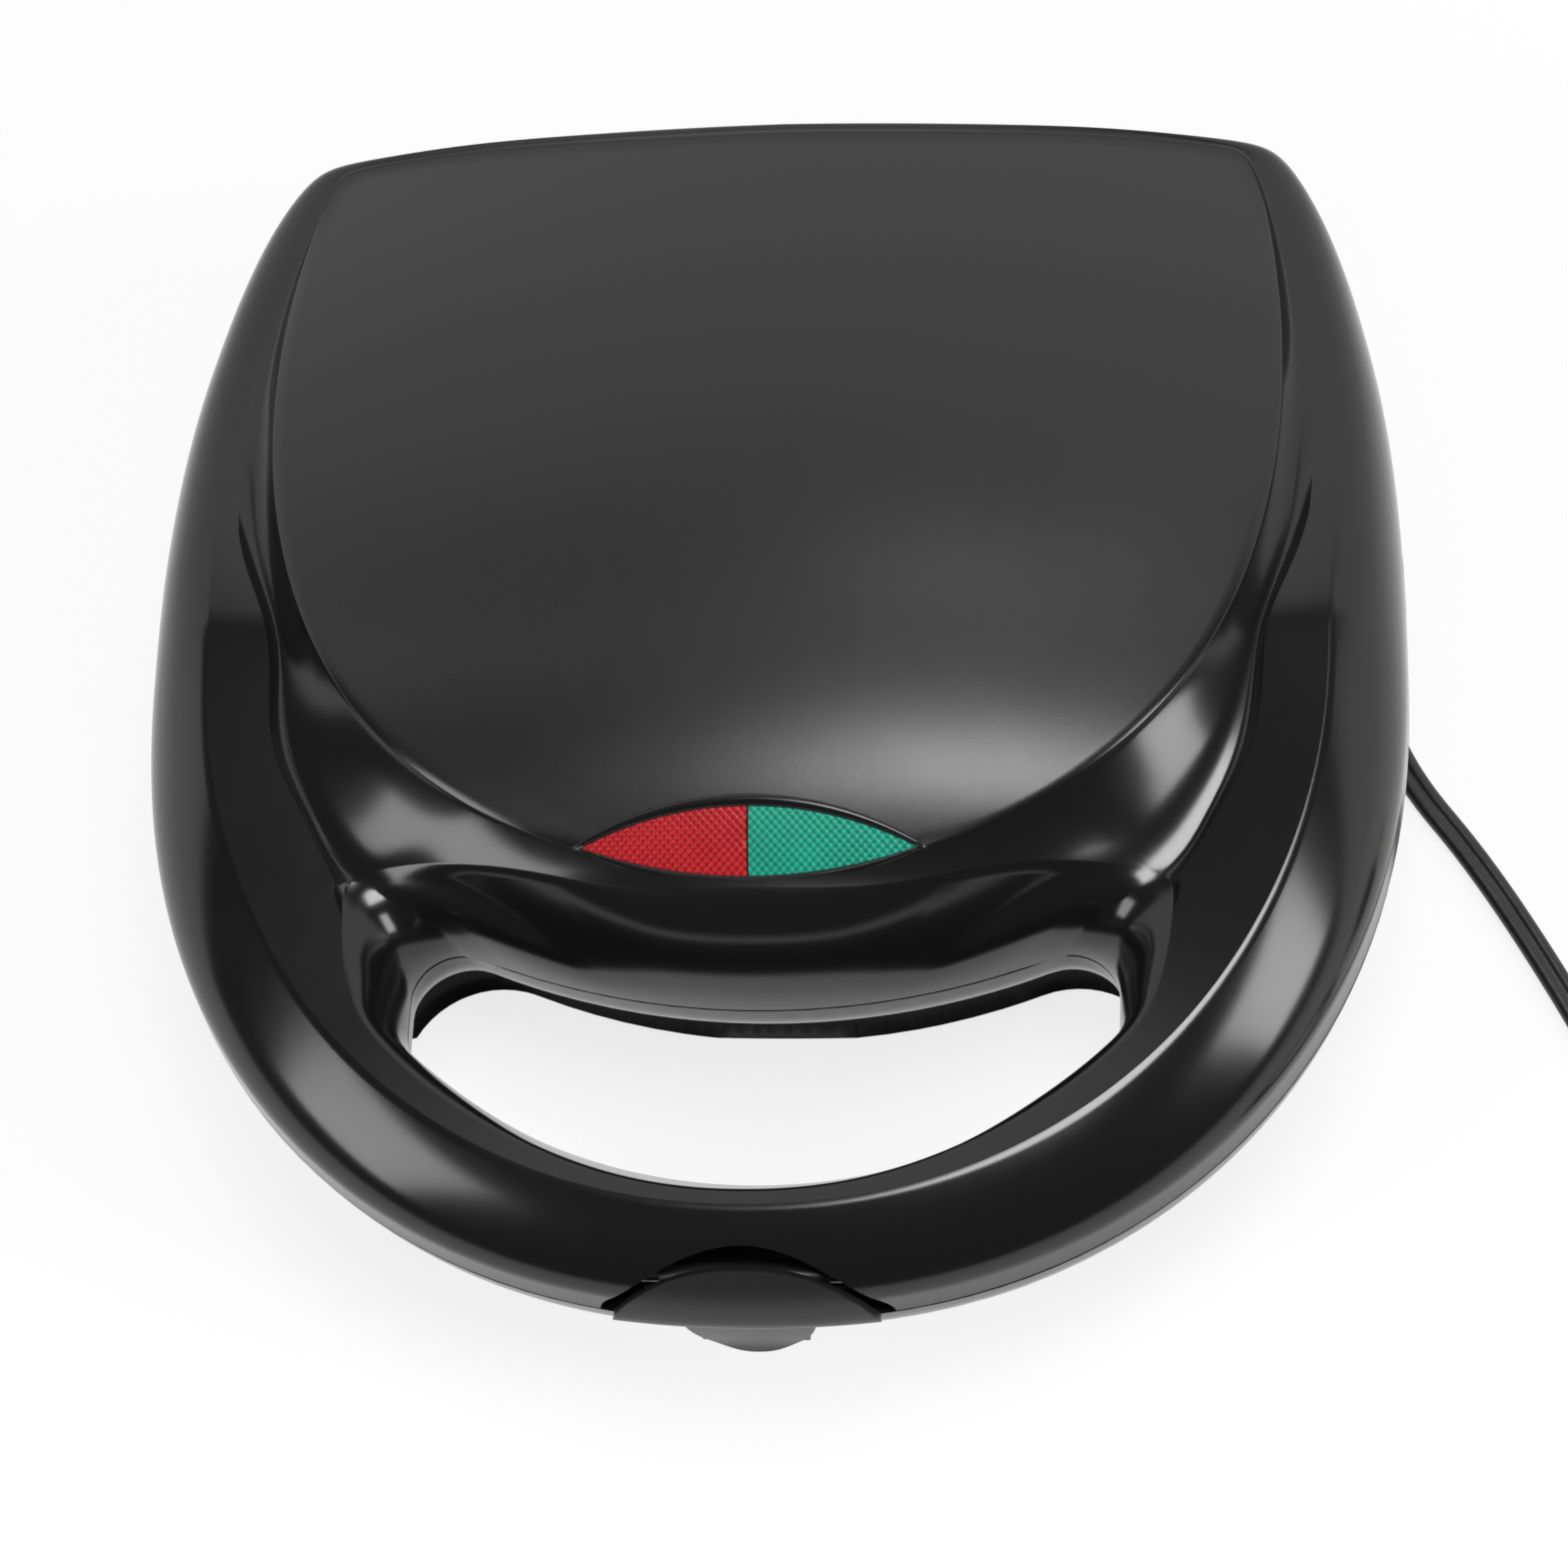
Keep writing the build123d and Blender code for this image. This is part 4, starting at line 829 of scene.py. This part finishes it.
def in_lens(x, y, growth):
    """Whether a place lies within the almond of the lens, grown on all sides."""
    outline = lens_outline(growth)
    half = len(outline) // 2
    top = np.interp(x, outline[half::-1, 0], outline[half::-1, 1])
    low = np.interp(x, outline[half:, 0], outline[half:, 1])
    return abs(x) < LENS_HALF + growth and low < y < top


def drawn(profile, x_low, x_high, ease=0.3):
    """Closed bar: a profile in Y and Z drawn along X, with eased ends."""
    profile = np.asarray(profile, float)
    inward = profile.mean(0) - profile
    inward /= np.linalg.norm(inward, axis=1, keepdims=True)
    ends = ((x_low, ease), (x_low + 0.3 * ease, 0.3 * ease), (x_low + ease, 0.0))
    ends += tuple((x_high - (x - x_low), shrink) for x, shrink in ends[::-1])
    rings = [np.hstack([np.full((len(profile), 1), x), profile + inward * shrink]) for x, shrink in ends]
    return np.concatenate(rings), tube_faces(len(ends), len(profile))


def barrel(x_low, x_high):
    """Hinge barrel on its web: a rounded tongue drawn along X from the rear wall to the hinge axis."""
    turn = np.linspace(-pi / 2, pi / 4, 22)
    nose = np.stack([116.4 + 4 * np.cos(turn), 48.0 + 4 * np.sin(turn)], 1)
    web = [(116.4, 55.2), (115.4, 56.6), (112.8, 57.0), (109.8, 57.0), (109.8, 48.5),
           (112.3, 48.4), (113.6, 45.2)]
    return drawn(np.concatenate([nose, web]), x_low, x_high, 0.5)


def make_lid():
    """Upper casing: cut as one closed body, opened at the base and the lens window, then thickened."""
    piece = upper_shell()
    cut(piece, prism("lens_cut", lens_outline(0.5), 60, 95))
    turn = np.linspace(0, pi, 60)
    arch = np.stack([SEAT_HALF * np.cos(turn), SEAT_FOOT + (SEAT_PEAK - SEAT_FOOT) * np.sin(turn)], 1)
    arch = np.concatenate([arch, [(-SEAT_HALF, 40.0), (SEAT_HALF, 40.0)]])
    rings = [np.stack([arch[:, 0], np.full(len(arch), y), arch[:, 1]], 1) for y in (-135.0, -108.0)]
    seat = mesh_piece("seat_cut", np.concatenate(rings), tube_faces(2, len(arch)), smooth=False)
    cut(piece, seat)
    open_up(piece, lambda middle, normal: middle.z < LID_BASE + 0.02 and abs(normal.z) > 0.9)
    open_up(piece, lambda middle, normal: in_lens(middle.x, middle.y, 0.55)
            and (middle.z < 61 or abs(normal.z) < 0.3))
    solid = piece.modifiers.new("wall", "SOLIDIFY")
    solid.thickness = WALL * MM
    solid.offset = -1
    bpy.context.view_layer.update()
    apply_all(piece)
    smooth_by_angle(piece, 38)
    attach(piece, "lid")
    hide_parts("upper_shell")
    paint(piece, BLACK)
    for name, x_low, x_high in (("left_barrel", -47.6, -38.4), ("right_barrel", 38.4, 47.6),
                                ("lead_port", 4.0, 14.0)):
        knuckle = mesh_piece(name, *barrel(x_low, x_high))
        smooth_by_angle(knuckle, 38)
        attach(knuckle, "lid")
        paint(knuckle, BLACK)


def make_lens_frame():
    """Black frame round the lens: a low rounded bead that follows the almond and the panel's crown."""
    count, rounding = 48, 12
    turn = np.linspace(0, 2 * pi, rounding, endpoint=False)
    rings = []
    for angle in turn:
        growth = 0.75 + 1.05 * cos(angle)
        line = lens_outline(growth, count)
        height = crown(line[:, 0], line[:, 1]) - 0.35 + 0.75 * sin(angle)
        rings.append(np.hstack([line, height[:, None]]))
    rings = np.array(rings)
    along_count = rings.shape[1]
    faces = ring_quads(rounding + 1, along_count) % (rounding * along_count)
    piece = mesh_piece("lens_frame", rings.reshape(-1, 3), faces.tolist())
    face_away(piece)
    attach(piece, "lid")
    paint(piece, BLACK)


def make_base():
    """Lower casing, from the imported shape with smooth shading."""
    piece = smooth_copy("lower_shell", "lower_casing", 28)
    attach(piece, "root")
    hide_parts("lower_shell")
    paint(piece, BASE_BLACK)


def latch_sheet(name, rise, half_width, line, thickness, columns=61):
    """Sheet of the latch: its side profile over a half-oval outline, thickened inward with soft edges.

    Height follows the sine and half width the cosine of one angle, and the profile gives the depth.
    """
    angle = np.linspace(0, pi / 2, 29)[:, None]
    share = np.linspace(-1, 1, columns)[None, :]
    climb = np.sin(angle)
    x = half_width * np.cos(angle) ** 0.9 * share
    z = rise[0] + (rise[1] - rise[0]) * climb + 0 * share
    y = line(z) + 0.0026 * x**2
    piece = mesh_piece(name, np.stack([x, y, z], -1).reshape(-1, 3),
                       ring_quads(29, columns, closed=False).tolist())
    clean(piece, 2e-6)
    face_away(piece, Vector((0, -1, 0)))
    solid = piece.modifiers.new("wall", "SOLIDIFY")
    solid.thickness = thickness * MM
    solid.offset = -1
    soft = piece.modifiers.new("edge", "BEVEL")
    soft.width, soft.segments, soft.angle_limit = 0.35 * MM, 2, radians(50)
    bpy.context.view_layer.update()
    apply_all(piece)
    smooth_by_angle(piece, 40)
    return piece


def make_latch():
    """Latch: half-oval finger plate, tongue under it, tooth, web and pivot knuckle."""
    plate_line = natural_spline((48.6, 50.5, 54, 58, 61.4), (-119.0, -119.5, -118.7, -116.2, -112.7))
    tongue_line = natural_spline((30.8, 32.5, 37, 44, 51), (-117.9, -117.5, -117.5, -117.7, -117.6))
    plate = latch_sheet("latch_plate", (48.8, 61.4), LATCH_HALF, plate_line, 1.8)
    tongue = latch_sheet("latch_tongue", (50.2, 30.8), 12.0, tongue_line, 1.5)
    turn = np.linspace(0, 2 * pi, 28, endpoint=False)
    knuckle = np.stack([-111 + 2.3 * np.cos(turn), 53.7 + 2.3 * np.sin(turn)], 1)
    web = [(-116.6, 51.4), (-112.0, 51.4), (-112.0, 53.6), (-116.6, 53.6)]
    tooth = [(-116.7, 34.2), (-115.7, 34.2), (-115.7, 36.6), (-116.7, 36.6)]
    pieces = [plate, tongue]
    for name, profile, half in (("latch_knuckle", knuckle, 14.8), ("latch_web", web, 10.4),
                                ("latch_tooth", tooth, 9.6)):
        pieces.append(mesh_piece(name, *drawn(profile, -half, half)))
        smooth_by_angle(pieces[-1], 40)
    for piece in pieces:
        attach(piece, "latch")
        paint(piece, LATCH)
    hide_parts("latch")



make_lid()
make_lens_frame()
make_base()
make_latch()


# ---------------------------------------------------------------- floor, world and lamps

def make_floor():
    """Pale floor that shows white to the camera and in reflections, and keeps the shadow."""
    half = 3000.0
    floor = mesh_piece("floor", [(-half, -half, 0), (half, -half, 0), (half, half, 0), (-half, half, 0)],
                       [(0, 1, 2, 3)])
    material = bpy.data.materials.new("floor_white")
    material.use_nodes = True
    tree = material.node_tree
    tree.nodes.clear()
    out = tree.nodes.new("ShaderNodeOutputMaterial")
    path = tree.nodes.new("ShaderNodeLightPath")
    diffuse = tree.nodes.new("ShaderNodeBsdfDiffuse")
    diffuse.inputs[0].default_value = (0.85, 0.85, 0.85, 1)
    glow = tree.nodes.new("ShaderNodeEmission")
    glow.inputs[0].default_value = (1, 1, 1, 1)
    camera, glossy, through = [Value(tree, path.outputs["Is %s Ray" % kind])
                               for kind in ("Camera", "Glossy", "Transmission")]
    seen = glossy.most(through).most(camera) * 0.8
    mix = tree.nodes.new("ShaderNodeMixShader")
    tree.links.new(seen.socket, mix.inputs[0])
    tree.links.new(diffuse.outputs[0], mix.inputs[1])
    tree.links.new(glow.outputs[0], mix.inputs[2])
    tree.links.new(mix.outputs[0], out.inputs[0])
    floor.data.materials.append(material)


def make_world():
    """White to the camera; in reflections a white wall behind, and dark in front and overhead."""
    world = bpy.data.worlds.new("studio")
    world.use_nodes = True
    SCENE.world = world
    tree = world.node_tree
    back = next(n for n in tree.nodes if n.type == "BACKGROUND")
    path = tree.nodes.new("ShaderNodeLightPath")
    place = tree.nodes.new("ShaderNodeTexCoord")
    split = tree.nodes.new("ShaderNodeSeparateXYZ")
    tree.links.new(place.outputs["Generated"], split.inputs[0])
    height, depth = Value(tree, split.outputs[2]), Value(tree, split.outputs[1])
    seen = Value(tree, path.outputs["Is Camera Ray"])
    gloss = Value(tree, path.outputs["Is Glossy Ray"]).most(Value(tree, path.outputs["Is Transmission Ray"]))
    edge = ((depth + 0.1) * 2.2).most(0.0).least(1.0) * 0.85
    level = 1.0 - ((height - edge) * 14.0).most(0.0).least(1.0) * 0.96
    strength = seen.most(gloss * level + (1.0 - gloss) * 0.25)
    tree.links.new(strength.socket, back.inputs[1])
    back.inputs[0].default_value = (1, 1, 1, 1)


def lamp(name, place, target, size, power):
    """Soft box lamp that looks at a target."""
    data = bpy.data.lights.new(name, "AREA")
    data.shape = "RECTANGLE"
    data.size, data.size_y = size
    data.energy = power
    obj = bpy.data.objects.new(name, data)
    obj.location = place
    look = (Vector(target) - Vector(place)).normalized()
    obj.rotation_euler = look.to_track_quat("-Z", "Y").to_euler()
    SCENE.collection.objects.link(obj)


make_floor()
make_world()
lamp("key", (0.20, -0.06, 1.35), (0, 0, 0.05), (0.52, 0.46), 11)
lamp("left", (-1.05, -0.65, 0.95), (0, 0, 0.05), (0.5, 0.9), 8)
lamp("right", (1.2, -0.35, 0.8), (0, 0, 0.05), (0.4, 0.9), 10)

SCENE.view_settings.view_transform = "Standard"
